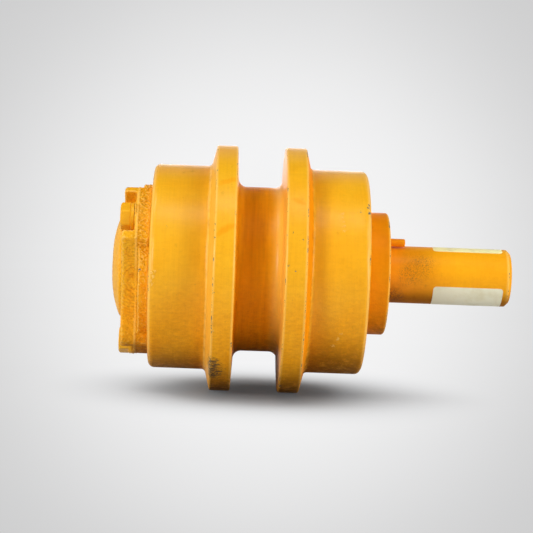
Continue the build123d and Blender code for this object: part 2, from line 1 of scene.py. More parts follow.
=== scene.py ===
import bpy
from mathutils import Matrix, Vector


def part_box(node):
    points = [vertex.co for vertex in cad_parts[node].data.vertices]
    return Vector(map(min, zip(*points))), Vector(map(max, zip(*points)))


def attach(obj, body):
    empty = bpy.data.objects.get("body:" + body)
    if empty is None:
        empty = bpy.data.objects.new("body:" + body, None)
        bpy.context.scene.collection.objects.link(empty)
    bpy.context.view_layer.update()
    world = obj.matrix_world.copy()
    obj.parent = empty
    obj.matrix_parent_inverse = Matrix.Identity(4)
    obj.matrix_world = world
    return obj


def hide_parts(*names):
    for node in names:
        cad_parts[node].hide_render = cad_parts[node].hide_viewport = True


bl_info = {
    "name": "Carrier roller",
    "version": (1, 0, 0),
    "blender": (4, 5, 0),
    "location": "3D View > Sidebar > Carrier roller",
    "description": "Builds the painted look of a crawler's carrier roller round its CAD frame",
    "category": "Object",
}

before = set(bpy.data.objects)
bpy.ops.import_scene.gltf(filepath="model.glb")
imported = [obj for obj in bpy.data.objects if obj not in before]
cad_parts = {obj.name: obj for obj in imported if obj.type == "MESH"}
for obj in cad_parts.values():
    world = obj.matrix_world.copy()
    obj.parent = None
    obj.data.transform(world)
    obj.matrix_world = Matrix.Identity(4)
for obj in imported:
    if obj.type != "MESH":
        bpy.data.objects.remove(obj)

import math
import random

import bmesh
import bpy
import numpy as np
from bpy.props import FloatProperty, FloatVectorProperty, IntProperty, PointerProperty
from mathutils import Matrix, Vector, noise

# Metres throughout, in the frame of the CAD. The spin axis is Y, and the collar's outer face is at 0.
# Angles round the spin axis run from +X, towards the photograph's camera, up to +Z.
# Finishes read the object's own coordinates in millimetres.
MM = 0.001

PAINTED_BODY = "roller"
FIXED_BODY = "shaft"

SHELL_LOW, SHELL_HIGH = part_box("roller_shell")
SHELL_MIDDLE = (SHELL_LOW.y + SHELL_HIGH.y) / 2
SHELL_HALF = (SHELL_HIGH.y - SHELL_LOW.y) / 2
SHAFT_LOW, SHAFT_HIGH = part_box("shaft")
COLLAR_LOW, COLLAR_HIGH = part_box("seal_collar")
PLUG_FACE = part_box("cover_plug")[0].y
FLOOR_HEIGHT = SHELL_LOW.z


def length(name, description, millimetres):
    """A property for a length, kept in metres."""
    return FloatProperty(
        name=name,
        description=description,
        default=millimetres * MM,
        min=0,
        subtype="DISTANCE",
        unit="LENGTH",
    )


def shade(name, description, red, green, blue):
    """A property for a colour, as linear red, green and blue."""
    return FloatVectorProperty(
        name=name,
        description=description,
        default=(red, green, blue),
        min=0,
        max=1,
        size=3,
        subtype="COLOR",
    )


def amount(name, description, default, top):
    """A property for a plain number from nought up."""
    return FloatProperty(name=name, description=description, default=default, min=0, max=top)


class RollerSizes(bpy.types.PropertyGroup):
    """Sizes of the roller's painted pieces."""

    tread_diameter: length("Tread", "Diameter of the plain treads", 203)
    tread_rounding: length("Tread edge", "Rounding at the outer edge of each tread", 6)
    tread_root: length("Tread root", "Fillet between tread and flange", 4)
    rim_width: length("Rim width", "Width of a flange's rim", 20.6)
    rim_gap: length("Rim gap", "Distance between the two rims", 47)
    rim_rounding: length("Rim edge", "Rounding at a rim's edges", 2)
    waist_diameter: length("Waist", "Diameter between the flanges", 164)
    waist_fillet: length("Waist fillet", "Fillet between waist and flange", 8)
    pilot_diameter: length("Pilot", "Bore that takes the cover's pilot", 124)
    counterbore_depth: length("Counterbore depth", "Depth of the recess round the collar", 8)
    counterbore_diameter: length("Counterbore", "Diameter of the recess round the collar", 125.2)
    collar_rounding: length("Collar edge", "Rounding at the collar's outer edge", 3)
    shaft_diameter: length("Pin", "Diameter of the mounting pin", 57)
    shaft_chamfer: length("Pin chamfer", "Chamfer at the mounting pin's end", 3.5)
    dowel_diameter: length("Dowel", "Diameter of the dowel", 8)
    dowel_radius: length("Dowel place", "Distance of the dowel from the spin axis", 33.8)
    dowel_standout: length("Dowel length", "How far the dowel stands out of the collar", 17.5)
    bolt_circle: length("Bolt circle", "Radius of the circle through the cover bolts", 75)
    bolt_head_width: length("Bolt head", "Width across the flats of a bolt head", 24)
    bolt_head_height: length("Bolt head height", "Height of a bolt head", 10)
    bolt_seat: length("Bolt seat", "Height of the washer's seat above the shell's end face", 15.8)
    washer_diameter: length("Washer", "Outside diameter of a lock washer", 27.4)
    washer_thickness: length("Washer thickness", "Thickness of a lock washer", 3.5)
    label_length: length("Label length", "Length of a label along the pin", 69.2)
    label_start: length("Label start", "Distance of the labels from the collar's face", 45.9)


class RollerColours(bpy.types.PropertyGroup):
    """Colours of the roller's finishes."""

    yellow: shade("Yellow coat", "Enamel on the shell where it is thick and pale", 0.88, 0.435, 0.010)
    # The orange coat is the collar's and the pin's own colour; on the shell and the cover it is also mixed in
    # as painted shade, on the waist, the right flange's cone and low down.
    orange: shade("Orange coat", "Enamel on collar, waist and pin", 0.90, 0.29, 0.002)
    # The pale coat is a painted highlight and sheen, put on edges, beads, crests, the seam, the dome, the
    # left cone and the right flange's inner side.
    highlight_coat: shade("Pale coat", "Enamel along edges that the spray builds up on", 1.0, 0.56, 0.10)
    # The dark coat is used both for a random film of dirt and for painted shade on undersides, in corners and
    # in hollows.
    dirt_and_shade_coat: shade("Dirty coat", "Enamel under a film of oil and dust", 0.33, 0.115, 0.005)
    steel: shade("Bare steel", "Worn steel in chips and scuffs", 0.22, 0.20, 0.17)
    grime: shade("Grime", "Rust and dirt in the chips", 0.055, 0.043, 0.028)
    soot: shade("Soot", "Greasy black dirt", 0.032, 0.038, 0.028)
    label: shade("Label film", "Face of the lower blank label", 0.84, 0.81, 0.60)
    # The upper label's film is a brighter, yellower copy of the lower one's, painted light where the label
    # faces up.
    upper_label: shade("Upper label film", "Face of the upper blank label", 0.97, 0.91, 0.45)
    ground_steel: shade("Ground steel", "Bearing steel", 0.56, 0.56, 0.57)
    pressed_steel: shade("Pressed steel", "Cages and lock washer", 0.42, 0.42, 0.43)
    seal_iron: shade("Seal iron", "Hard iron of the face seal", 0.33, 0.32, 0.31)
    rubber: shade("Rubber", "Black nitrile rubber", 0.018, 0.018, 0.02)


class StudioSettings(bpy.types.PropertyGroup):
    """Levels of the stage."""

    key: amount("Key softbox", "Watts of the softbox in front, towards the cover's end", 18.0, 500.0)
    top: amount("Top softbox", "Watts of the softbox above the camera", 5.6, 500.0)
    left: amount("Left softbox", "Watts of the softbox high above the cover's end", 11.0, 500.0)
    right: amount("Right softbox", "Watts of the low softbox towards the pin's end", 11.5, 500.0)
    high_right: amount("High right softbox", "Watts of the raised softbox towards the pin", 10.2, 500.0)
    low_left: amount("Low left lamp", "Watts of the small lamp low beyond the cover's end", 3.2, 500.0)
    low_right: amount("Low right lamp", "Watts of the small lamp low beyond the pin's end", 4.6, 500.0)
    back: amount("Back softbox", "Watts of the softbox behind the roller", 6.0, 500.0)
    floor: amount("Floor softbox", "Watts of the softbox that lights the floor alone", 190.0, 900.0)
    ambient: amount("Ambient", "Strength of the light from all round", 0.03, 10.0)
    turns: IntProperty(name="Segments", description="Segments round the shell", default=432, min=36)


class Wire:
    """A number or a colour in a finish, with Python arithmetic for numbers."""

    def __init__(self, finish, socket):
        self.finish = finish
        self.socket = socket

    def other(self, name):
        """Another output of the same node."""
        return Wire(self.finish, self.socket.node.outputs[name])

    def _math(self, operation, first, second=0.0):
        return self.finish.node("ShaderNodeMath", {"operation": operation}, {0: first, 1: second})

    def __add__(self, number):
        return self._math("ADD", self, number)

    def __sub__(self, number):
        return self._math("SUBTRACT", self, number)

    def __mul__(self, number):
        return self._math("MULTIPLY", self, number)

    def __pow__(self, number):
        return self._math("POWER", self, number)

    def __radd__(self, number):
        return self._math("ADD", number, self)

    def __rsub__(self, number):
        return self._math("SUBTRACT", number, self)

    def __rmul__(self, number):
        return self._math("MULTIPLY", number, self)

    def __neg__(self):
        return self._math("SUBTRACT", 0.0, self)

    def __abs__(self):
        return self._math("ABSOLUTE", self)

    def up_to(self, number):
        """This, but no more than the number."""
        return self._math("MINIMUM", self, number)

    def at_least(self, number):
        """This, but no less than the number."""
        return self._math("MAXIMUM", self, number)

    def between(self, low, high):
        """0 below low, 1 above high, and a smooth rise from one to the other."""
        settings = {"interpolation_type": "SMOOTHSTEP"}
        inputs = {"Value": self, "From Min": low, "From Max": high}
        return self.finish.node("ShaderNodeMapRange", settings, inputs)

    def window(self, start, risen, falling, end):
        """0 up to start, 1 from risen to falling, and 0 again from end."""
        return self.between(start, risen) - self.between(falling, end)


def highest(masks):
    """The greatest of several masks."""
    found, *others = masks
    for mask in others:
        found = found.at_least(mask)
    return found


class Finish:
    """A material's node tree while it is being built."""

    def __init__(self, name):
        self.material = bpy.data.materials.new(name)
        self.material.use_nodes = True
        self.tree = self.material.node_tree
        self.tree.nodes.clear()
        self._place = None
        self._cylinder = None

    def node(self, kind, settings=None, inputs=None, output=0):
        """Adds a node, sets it, fills its sockets with values or links, and gives one of its outputs."""
        made = self.tree.nodes.new(kind)
        for setting, value in (settings or {}).items():
            setattr(made, setting, value)
        for socket, value in (inputs or {}).items():
            if isinstance(value, Wire):
                self.tree.links.new(value.socket, made.inputs[socket])
            else:
                made.inputs[socket].default_value = value
        return Wire(self, made.outputs[output]) if made.outputs else None

    def place(self):
        """Object coordinates in millimetres."""
        if self._place is None:
            here = self.node("ShaderNodeTexCoord", output="Object")
            self._place = self.scaled(here, (1 / MM, 1 / MM, 1 / MM))
        return self._place

    def scaled(self, vector, factors):
        """A vector with each part multiplied by its factor."""
        return self.node("ShaderNodeVectorMath", {"operation": "MULTIPLY"}, {0: vector, 1: factors})

    def shifted(self, vector, other):
        """The sum of two vectors."""
        return self.node("ShaderNodeVectorMath", {"operation": "ADD"}, {0: vector, 1: other})

    def distance(self, vector, point):
        """Distance between two points."""
        return self.node("ShaderNodeVectorMath", {"operation": "DISTANCE"}, {0: vector, 1: point}, "Value")

    def distance_to(self, radius, station, angle):
        """Distance from a place on the roller, in millimetres."""
        return self.distance(self.place(), round_place(radius, station, angle))

    def cylinder(self):
        """Radius, station and height of the point, in millimetres."""
        if self._cylinder is None:
            x = self.node("ShaderNodeSeparateXYZ", inputs={0: self.place()})
            station, height = x.other("Y"), x.other("Z")
            self._cylinder = (x * x + height * height) ** 0.5, station, height
        return self._cylinder

    def noise(self, scale, detail=3.0, roughness=0.5, stretch=(1, 1, 1), offset=0.0):
        """Noise with about scale features to the millimetre, from about 0.2 to 0.8."""
        where = self.place()
        if stretch != (1, 1, 1):
            where = self.scaled(where, stretch)
        if offset:
            where = self.shifted(where, (offset, -offset, offset / 2))
        inputs = {"Vector": where, "Scale": scale, "Detail": detail, "Roughness": roughness}
        return self.node("ShaderNodeTexNoise", inputs=inputs)

    def cells(self, scale):
        """Distance to the nearest of points scattered with about scale to the millimetre."""
        return self.node("ShaderNodeTexVoronoi", inputs={"Vector": self.place(), "Scale": scale})

    def grey(self, tone, blue):
        """A grey of a tone, with its blue part multiplied."""
        return self.node("ShaderNodeCombineColor", inputs={0: tone, 1: tone, 2: tone * blue})

    def mixed(self, share, first, second, mode="MIX"):
        """Two colours mixed by a share."""
        settings = {"data_type": "RGBA", "blend_type": mode}
        return self.node("ShaderNodeMix", settings, {0: share, 6: first, 7: second}, 2)

    def bump(self, height, depth):
        """A normal from a height; depth is the millimetres that a height of 1 stands for."""
        return self.node("ShaderNodeBump", inputs={"Height": height, "Strength": 1.0, "Distance": depth * MM})

    def shaded(self, inputs):
        """Ends the tree with a Principled shader."""
        surface = self.node("ShaderNodeBsdfPrincipled", inputs=inputs)
        self.node("ShaderNodeOutputMaterial", inputs={"Surface": surface})
        return self.material


def rgba(colour):
    """A colour with its opacity, as sockets take it."""
    return (colour[0], colour[1], colour[2], 1.0)


# The widest turn between two points of a rounded corner.
ARC_STEP = math.radians(11)


def rounded(corners):
    """Points along a closed section whose corners are (radius, station) or (radius, station, rounding).

    Each point also says which corner it follows.
    """
    points = []
    count = len(corners)
    for index, corner in enumerate(corners):
        here = np.array(corner[:2], float)
        rounding = corner[2] if len(corner) == 3 else 0
        if not rounding:
            points.append((here, index))
            continue
        before = np.array(corners[index - 1][:2], float) - here
        after = np.array(corners[(index + 1) % count][:2], float) - here
        before /= np.linalg.norm(before)
        after /= np.linalg.norm(after)
        opening = math.acos(np.clip(before @ after, -1, 1))
        inward = (before + after) / np.linalg.norm(before + after)
        centre = here + inward * rounding / math.sin(opening / 2)
        start = here + before * rounding / math.tan(opening / 2) - centre
        end = here + after * rounding / math.tan(opening / 2) - centre
        sweep = math.pi - opening
        steps = max(2, math.ceil(sweep / ARC_STEP))
        for step in range(steps + 1):
            share = step / steps
            arm = (math.sin((1 - share) * sweep) * start + math.sin(share * sweep) * end) / math.sin(sweep)
            points.append((centre + arm, index))
    return points


def divided(points, steps):
    """A closed section's points with long straight runs divided, by the step of the corner they follow."""
    fine = []
    for (here, corner), (after, _) in zip(points, points[1:] + points[:1]):
        pieces = max(1, math.ceil(np.linalg.norm(after - here) / steps[corner] - 1e-6))
        fine += [here + (after - here) * piece / pieces for piece in range(pieces)]
    return np.array(fine)


def ring_normals(section):
    """Outward normals along a closed section, as (radius, station) parts."""
    along = np.roll(section, -1, axis=0) - np.roll(section, 1, axis=0)
    along /= np.maximum(np.linalg.norm(along, axis=1, keepdims=True), 1e-12)
    return np.stack([along[:, 1], -along[:, 0]], axis=1)


def weld(mesh, reach=1e-6, facing="outward"):
    """Joins a mesh's doubled points and turns its faces outward or inward, or leaves them for None."""
    work = bmesh.new()
    work.from_mesh(mesh)
    bmesh.ops.remove_doubles(work, verts=work.verts, dist=reach)
    if facing:
        bmesh.ops.recalc_face_normals(work, faces=work.faces)
    if facing == "inward":
        bmesh.ops.reverse_faces(work, faces=work.faces)
    work.to_mesh(mesh)
    work.free()


def settled(piece, body, finish, replaced=(), sharp=35):
    """Gives a piece its finish and its body, and hides the CAD nodes that it stands for.

    Edges sharper than that many degrees stay sharp, and the rest is smooth.
    """
    weld(piece.data)
    piece.data.shade_smooth()
    piece.data.set_sharp_from_angle(angle=math.radians(sharp))
    piece.data.materials.clear()
    piece.data.materials.append(finish)
    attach(piece, body)
    if replaced:
        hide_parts(*replaced)


def as_mesh(name, points, faces, body, finish, replaced=()):
    """A piece from points and faces that rides on a CAD body."""
    mesh = bpy.data.meshes.new(name)
    mesh.from_pydata(points, [], faces)
    mesh.validate()
    piece = bpy.data.objects.new(name, mesh)
    bpy.context.scene.collection.objects.link(piece)
    settled(piece, body, finish, replaced)


def round_angles(turns):
    """Angles all round, in radians."""
    return np.arange(turns) * 2 * math.pi / turns


def round_points(radius, station, angle):
    """Points at arrays of radii, stations and angles in radians."""
    return np.stack([radius * np.cos(angle), station, radius * np.sin(angle)], axis=2)


def turned_points(section, turns, relief):
    """Points of a turned surface, ring by ring, set in along the normal by a relief."""
    angles = round_angles(turns)
    radius = np.repeat(section[:, :1], turns, axis=1)
    station = np.repeat(section[:, 1:], turns, axis=1)
    normals = ring_normals(section)
    depth = relief(radius, station, np.broadcast_to(angles, radius.shape))
    return round_points(radius - depth * normals[:, :1], station - depth * normals[:, 1:], angles)


def ring_faces(rings, turns, closed=False):
    """Faces between rings of points, each joined to the next, and the last to the first if closed."""
    last = rings if closed else rings - 1
    ring = np.arange(last)[:, None] * turns
    after = (np.arange(last)[:, None] + 1) % rings * turns
    here = np.arange(turns)[None, :]
    beside = (here + 1) % turns
    faces = np.stack([ring + here, after + here, after + beside, ring + beside], axis=2)
    return faces.reshape(-1, 4).tolist()


def soft_waves(points, scale, octaves=2):
    """Smooth noise at points, about -0.5 to 0.5."""
    flat = points.reshape(-1, 3) * scale
    values = [noise.fractal(Vector(point), 1.0, 2.0, octaves) for point in flat]
    return np.array(values).reshape(points.shape[:-1])


def dents(points, places):
    """Depths of round dents at (x, y, z, width, depth) places."""
    depth = np.zeros(points.shape[:-1])
    for x, y, z, width, deep in places:
        away = ((points - np.array((x, y, z))) ** 2).sum(axis=-1)
        depth = np.maximum(depth, deep * np.exp(-away / width**2))
    return depth


def round_place(radius, station, angle):
    """The point at a radius, station and angle, where 0 degrees faces +X and 90 degrees faces up."""
    return radius * math.cos(math.radians(angle)), station, radius * math.sin(math.radians(angle))


def turned_piece(name, corners, steps, turns, body, finish, replaced, relief, closed=True):
    """A turned piece from its section's corners; steps holds the longest run after each corner."""
    section = divided(rounded(corners), steps)
    points = turned_points(section, turns, relief).reshape(-1, 3).tolist()
    as_mesh(name, points, ring_faces(len(section), turns, closed), body, finish, replaced)


def loft(name, rings, foot, turn, turns, body, finish, replaced=()):
    """A piece from rings of (radius, height) round an axis through its foot; heights count towards -Y."""
    angles = round_angles(turns) + turn
    points = []
    for radius, height in rings:
        across = foot[0] + np.cos(angles) * radius
        up = foot[2] + np.sin(angles) * radius
        points.append(np.stack([across, np.full(turns, foot[1] - height), up], axis=1))
    points = np.concatenate(points).tolist()
    as_mesh(name, points, ring_faces(len(rings), turns), body, finish, replaced)


# Marks on the shell seen in the photograph: radius, station and angle, width and depth, in millimetres.
SHELL_CHIPS = (
    (101.3, -216.6, 25.5, 0.9, 0.3),
    (98.0, -233.0, -9.3, 2.2, 0.4),
    (122.0, -171.9, 53.8, 1.6, 0.5),
    (122.0, -171.6, 42.3, 1.6, 0.5),
    (121.8, -172.2, 17.6, 2.0, 0.5),
    (121.8, -172.1, 20.4, 1.6, 0.4),
    (121.8, -172.0, 23.8, 1.4, 0.4),
    (121.8, -172.3, 14.9, 1.5, 0.4),
    (122.0, -151.9, 29.3, 2.2, 0.6),
    (121.8, -171.2, -6.7, 1.8, 0.4),
    (121.8, -171.7, -25.8, 2.4, 0.4),
    (122.0, -97.8, 21.0, 1.1, 0.4),
    (122.0, -88.7, 17.7, 1.3, 0.4),
    (122.0, -101.7, 6.4, 1.2, 0.3),
    (122.0, -95.5, 3.9, 0.9, 0.3),
    (122.0, -84.0, 39.2, 1.8, 0.5),
    (121.5, -104.0, -65.1, 2.4, 0.6),
    (101.3, -33.4, 39.0, 1.2, 0.3),
    (100.2, -24.5, 44.9, 3.4, 0.4),
    (100.4, -25.6, 42.3, 2.4, 0.3),
    (100.2, -24.3, 39.2, 3.6, 0.5),
    (98.6, -22.6, 13.6, 2.4, 0.4),
    (98.6, -22.6, 11.5, 3.6, 0.5),
    (98.6, -22.7, 8.9, 2.6, 0.4),
    (100.4, -23.3, -39.4, 2.2, 0.4),
)
# Runs and beads in the shell's paint, given the same way. The last three show in the finish alone.
SHELL_BEADS = (
    (101.4, -230.0, 0.5, 3.1, 0.35),
    (101.4, -227.5, -1.6, 3.4, 0.3),
    (101.4, -231.1, -4.3, 3.1, 0.35),
    (101.4, -226.2, 1.1, 2.7, 0.25),
    (101.4, -228.7, -5.9, 3.1, 0.3),
    (101.4, -50.3, 37.3, 2.2, 0.3),
    (101.4, -49.8, 34.8, 2.2, 0.3),
    (101.4, -49.4, 32.2, 2.4, 0.3),
    (101.4, -49.1, 29.5, 2.4, 0.3),
    (101.4, -48.9, 26.8, 2.7, 0.35),
    (101.4, -50.2, -34.9, 3.2, 0.35),
    (101.4, -54.3, -40.2, 3.4, 0.3),
    (101.4, -47.8, -31.3, 2.7, 0.25),
    (122.0, -171.3, -21.1, 2.2, 0.0),
    (122.0, -170.3, -25.1, 2.5, 0.0),
    (122.0, -171.3, -29.9, 2.2, 0.0),
)

# Brushed arcs on the rims: the circle's station, angle and radius, then the angle of the arc's middle
# and how far the arc reaches from there.
SHELL_SMEARS = (
    (-150, 14, 20, 22.5, 17),
    (-153, 37.5, 21, 48.5, 14),
    (-86, 44, 17, 33.5, 12),
)

# Greasy patches at the rims' feet: station, angle and reach.
SHELL_SOOT = (
    (-170.0, -43.0, 13),
    (-169.5, -46.0, 17),
    (-169.0, -49.5, 19),
    (-169.5, -53.0, 16),
    (-104.5, -64.0, 7),
)

# Chips on the cover, given like the shell's.
COVER_CHIPS = (
    (80, -242.4, 0.7, 2.4, 0.3),
    (76, -245.0, -4.9, 1.8, 0.3),
    (84, -258.0, -60, 3.0, 0.3),
)

# How fast the wear falls off beside an edge, to the millimetre.
EDGE_FALL = 0.22 / 1.5


def chip_mask(finish, places):
    """1 in ragged chips at (radius, station, angle, width, depth) places."""
    inputs = {"Vector": finish.place(), "Scale": 0.55, "Detail": 4.0}
    wander = finish.node("ShaderNodeTexNoise", inputs=inputs, output=1)
    astray = finish.scaled(finish.shifted(wander, (-0.5, -0.5, -0.5)), (7, 7, 7))
    where = finish.shifted(finish.place(), astray)
    masks = []
    for radius, station, angle, width, _ in places:
        away = finish.distance(where, round_place(radius, station, angle))
        masks.append(1 - away.between(width * 0.40, width * 0.55 + 0.2))
    return highest(masks)


def circle_distance(finish, circles):
    """Distance to the nearest of circles of (radius, station) round the axis."""
    radius, station, _ = finish.cylinder()
    nearest = None
    for circle_radius, circle_station in circles:
        across = radius - circle_radius
        along = station - circle_station
        away = (across * across + along * along) ** 0.5
        nearest = away if nearest is None else nearest.up_to(away)
    return nearest


def edge_mask(finish, circles):
    """1 where paint is worn off along edge circles of (radius, station)."""
    patchy = finish.noise(0.055, 5, 0.72, offset=31)
    fine = finish.noise(0.7, 3, 0.6, offset=11)
    worn = patchy * 0.62 + fine * 0.38 - circle_distance(finish, circles) * EDGE_FALL
    return worn.between(0.485, 0.54)


def ridge_mask(finish, circles):
    """1 on circles of (radius, station), down to 0 a little over two millimetres away."""
    return 1 - circle_distance(finish, circles).between(0.5, 2.2)


def enamel(
    name, colours, first, second, edges=(), chips=(), region=None, cast=0.0, streaks=0.0, peel=1.0,
    grime=None, shine=0.6, dull=None, ridges=(), beads=(), soot=None, crests=False, carving=None, pale=None,
):
    """Brushed and sprayed enamel over steel, chipped at edges, with drifting hue and orange peel.

    first and second are the coat's two colours, and region gives the second one's share. The paint is
    worn along edges and has a painted highlight along ridges, which are circles of (radius, station); it
    is off at chips and thicker at beads, which get a painted highlight too. cast is the depth of the
    casting's grain, streaks the strength of rings round the axis, peel that of the orange peel and shine
    that of the gloss. dull, pale, grime and soot are masks of coat without gloss, of painted sheen and
    highlight, of dirt with painted shade, and of black dirt. carving is a further relief. crests says that
    the mesh is marked with its crests, which get a painted highlight, and its hollows, which get painted
    shade.
    """
    finish = Finish(name)
    _, _, height = finish.cylinder()
    drift = finish.noise(0.014, 3, 0.55)
    cloud = finish.noise(0.06, 4, 0.6, offset=7)
    mottle = finish.noise(0.33, 5, 0.62, offset=3)
    speck = finish.noise(1.7, 3, 0.6, offset=5)
    share = drift.between(0.32, 0.72) * 0.25
    if region is not None:
        share = (share + region(finish)).up_to(1.0)
    colour = finish.mixed(share, rgba(first), rgba(second))
    gloss = (1 - share) * shine * (0.6 + cloud * 0.8)
    tone = 0.91 + cloud * 0.10 + mottle * 0.07 + speck * 0.035
    if streaks:
        rings = finish.noise(0.5, 4, 0.65, stretch=(0.05, 1, 0.05), offset=17)
        runs = finish.noise(0.22, 4, 0.6, stretch=(1, 0.1, 1), offset=23)
        tone = tone + (rings - 0.5) * streaks + (runs - 0.5) * streaks * 0.5
    if dull is not None:
        dulled = dull(finish)
        gloss = gloss * (1 - dulled)
        broad = finish.noise(0.17, 4, 0.65, stretch=(0.07, 1, 0.07), offset=27)
        tone = tone + (broad - 0.5) * dulled * 0.5
    orange_peel = finish.noise(0.75, 2, 0.5, offset=71)
    flow = finish.noise(0.13, 3, 0.55, offset=73)
    ripple = finish.noise(0.40, 3, 0.65, stretch=(1, 0.4, 1), offset=75)
    # The coat ran down and is thicker below.
    thick = (-height).between(-30, 80) * 0.8 + 0.2
    skin = ((orange_peel - 0.5) * 0.22 + (ripple - 0.5) * 0.55) * thick * peel
    relief = skin + flow * 0.22
    tone = tone + skin * 0.85
    if cast:
        grain = finish.noise(0.55, 6, 0.75, offset=79) - 0.5
        pits = finish.cells(0.32).between(0.05, 0.5)
        relief = relief + grain * (cast * 1.3) + pits * (cast * 0.6)
        tone = tone + grain * (cast * 2.0) + (pits - 0.7) * (cast * 0.35)
    if carving is not None:
        carved = carving(finish)
        relief = relief + carved
        tone = tone + carved * 1.4
    # Where the coat is darker it is redder too.
    deep = finish.node("ShaderNodeCombineColor", inputs={0: tone, 1: tone ** 1.5, 2: tone ** 2})
    colour = finish.mixed(1.0, colour, deep, "MULTIPLY")
    rough = 0.36 + mottle * 0.16 + cloud * 0.08

    # A painted highlight along the edge circles.
    if ridges:
        edge_highlight = ridge_mask(finish, ridges) * (0.35 + mottle * 0.6)
        colour = finish.mixed(edge_highlight, colour, rgba(colours.highlight_coat))
    # Painted sheen and highlights where the pale mask lies.
    if pale is not None:
        colour = finish.mixed(pale(finish), colour, rgba(colours.highlight_coat))
    # A painted highlight on the mesh's crests and painted shade in its hollows.
    if crests:
        rise = finish.node("ShaderNodeAttribute", {"attribute_name": "crest"}, output="Fac")
        colour = finish.mixed(rise.between(0.02, 0.12) * 0.75, colour, rgba(colours.highlight_coat))
        colour = finish.mixed((-rise).between(0.02, 0.14) * 0.5, colour, rgba(colours.dirt_and_shade_coat))
    # A random film of dirt, together with the grime mask's dirt and painted shade, mixes in the dark coat.
    film = finish.noise(0.045, 6, 0.7, offset=41).between(0.60, 0.74) * 0.28
    if grime is not None:
        film = (film + grime(finish)).up_to(0.92)
    colour = finish.mixed(film, colour, rgba(colours.dirt_and_shade_coat))
    gloss = gloss * (1 - film)
    if soot is not None:
        colour = finish.mixed(soot(finish), colour, rgba(colours.soot))
    rough = rough + film * 0.2

    clear = finish.noise(0.05, 3, 0.6, offset=57).between(0.35, 0.75)
    flecks = finish.noise(1.1, 4, 0.75, offset=53) - clear * 0.10
    masks = [flecks.between(0.70, 0.74)]
    if edges:
        masks.append(edge_mask(finish, edges))
    if chips:
        masks.append(chip_mask(finish, chips))
    bare = highest(masks)
    rust = finish.noise(0.8, 4, 0.6, offset=61).between(0.35, 0.65)
    metal = finish.mixed(rust, rgba(colours.steel), rgba(colours.grime))
    colour = finish.mixed(bare, colour, metal)
    rough = rough + bare * 0.15

    relief = relief - bare * 0.12
    if beads:
        raised = chip_mask(finish, beads)
        relief = relief + raised * 0.35
        # The beads get a painted highlight in the pale coat.
        colour = finish.mixed(raised * 0.8, colour, rgba(colours.highlight_coat))
    normal = finish.bump(relief, 1.0)
    return finish.shaded({
        "Base Color": colour,
        "Roughness": rough,
        "IOR": 1.5,
        "Specular IOR Level": 0.05,
        "Coat Weight": gloss,
        "Coat Roughness": 0.34,
        "Normal": normal,
    })


OIL_FILM = (0.23, 0.16, 0.08, 1)
RUBBER_BLOOM = (0.07, 0.07, 0.068, 1)
LABEL_STAIN = (0.66, 0.58, 0.33, 1)
LABEL_SCUFF = (0.45, 0.40, 0.27, 1)


def worked_steel(name, colour, roughness, rings, patina=0.25):
    """Steel or iron with turning marks round the axis, oil film and small scratches."""
    finish = Finish(name)
    marks = finish.noise(rings, 3, 0.7, stretch=(0.03, 1, 0.03))
    oil = finish.noise(0.05, 4, 0.6, offset=9)
    scratches = finish.noise(1.4, 4, 0.75, stretch=(1, 0.12, 1), offset=19)
    grey = finish.grey(0.72 + marks * 0.22 + oil * 0.25 + scratches * 0.08, 0.985)
    base = finish.mixed(1.0, rgba(colour), grey, "MULTIPLY")
    base = finish.mixed(oil.between(0.45, 0.75) * patina, base, OIL_FILM)
    rough = roughness + oil * 0.14 + marks * 0.08
    normal = finish.bump(marks * 0.6 + scratches * 0.4, 0.02)
    return finish.shaded({"Base Color": base, "Roughness": rough, "Metallic": 1.0, "Normal": normal})


def moulded_rubber(name, colour):
    """Black nitrile rubber with a fine matt grain and bloom."""
    finish = Finish(name)
    bloom = finish.noise(0.09, 4, 0.6)
    grain = finish.noise(2.5, 3, 0.6, offset=13)
    base = finish.mixed(bloom.between(0.4, 0.8) * 0.35, rgba(colour), RUBBER_BLOOM)
    rough = 0.5 + bloom * 0.2 + grain * 0.1
    normal = finish.bump(grain, 0.03)
    inputs = {"Base Color": base, "Roughness": rough, "Specular IOR Level": 0.35, "Normal": normal}
    return finish.shaded(inputs)


def paper_film(name, colour):
    """Blank coated label film, slightly yellowed and scuffed."""
    finish = Finish(name)
    stain = finish.noise(0.07, 4, 0.6)
    scuff = finish.noise(0.5, 5, 0.7, stretch=(1, 0.25, 1), offset=15)
    fibre = finish.noise(3.0, 3, 0.6, offset=25)
    base = finish.mixed(stain.between(0.42, 0.75) * 0.55, rgba(colour), LABEL_STAIN)
    base = finish.mixed(scuff.between(0.62, 0.74) * 0.45, base, LABEL_SCUFF)
    rough = 0.38 + stain * 0.18 + scuff * 0.1
    normal = finish.bump(fibre * 0.4 + scuff * 0.6, 0.03)
    return finish.shaded({"Base Color": base, "Roughness": rough, "Normal": normal})


def settings_of(context):
    """The sizes, the colours and the stage's levels."""
    scene = context.scene
    return scene.roller_sizes, scene.roller_colours, scene.roller_studio


FLANGE_OUTER_DRAFT = math.radians(14)
FLANGE_INNER_DRAFT = math.radians(3)

# Inside of the shell, behind the collar and the cover: radii, and distances from the shell's middle.
SEAL_MOUTH = 51.5 * MM
SEAL_SEAT = 48.9 * MM
SEAL_DEPTH = 12.5 * MM
CUP_ENTRY = 46 * MM
CUP_OUTSIDE = 45 * MM
CUP_FRONT = 77 * MM
CUP_BACK = 58 * MM
CUP_SHOULDER = 40 * MM
CUP_SHOULDER_END = 49 * MM
RESERVOIR = 56 * MM
RESERVOIR_END = 33 * MM
PILOT_FLOOR = 95.5 * MM

# Longest runs between points on the shell's outside, which is dented, and on its plain inside.
OUTSIDE_RUN = 2.3 * MM
INSIDE_RUN = 9 * MM

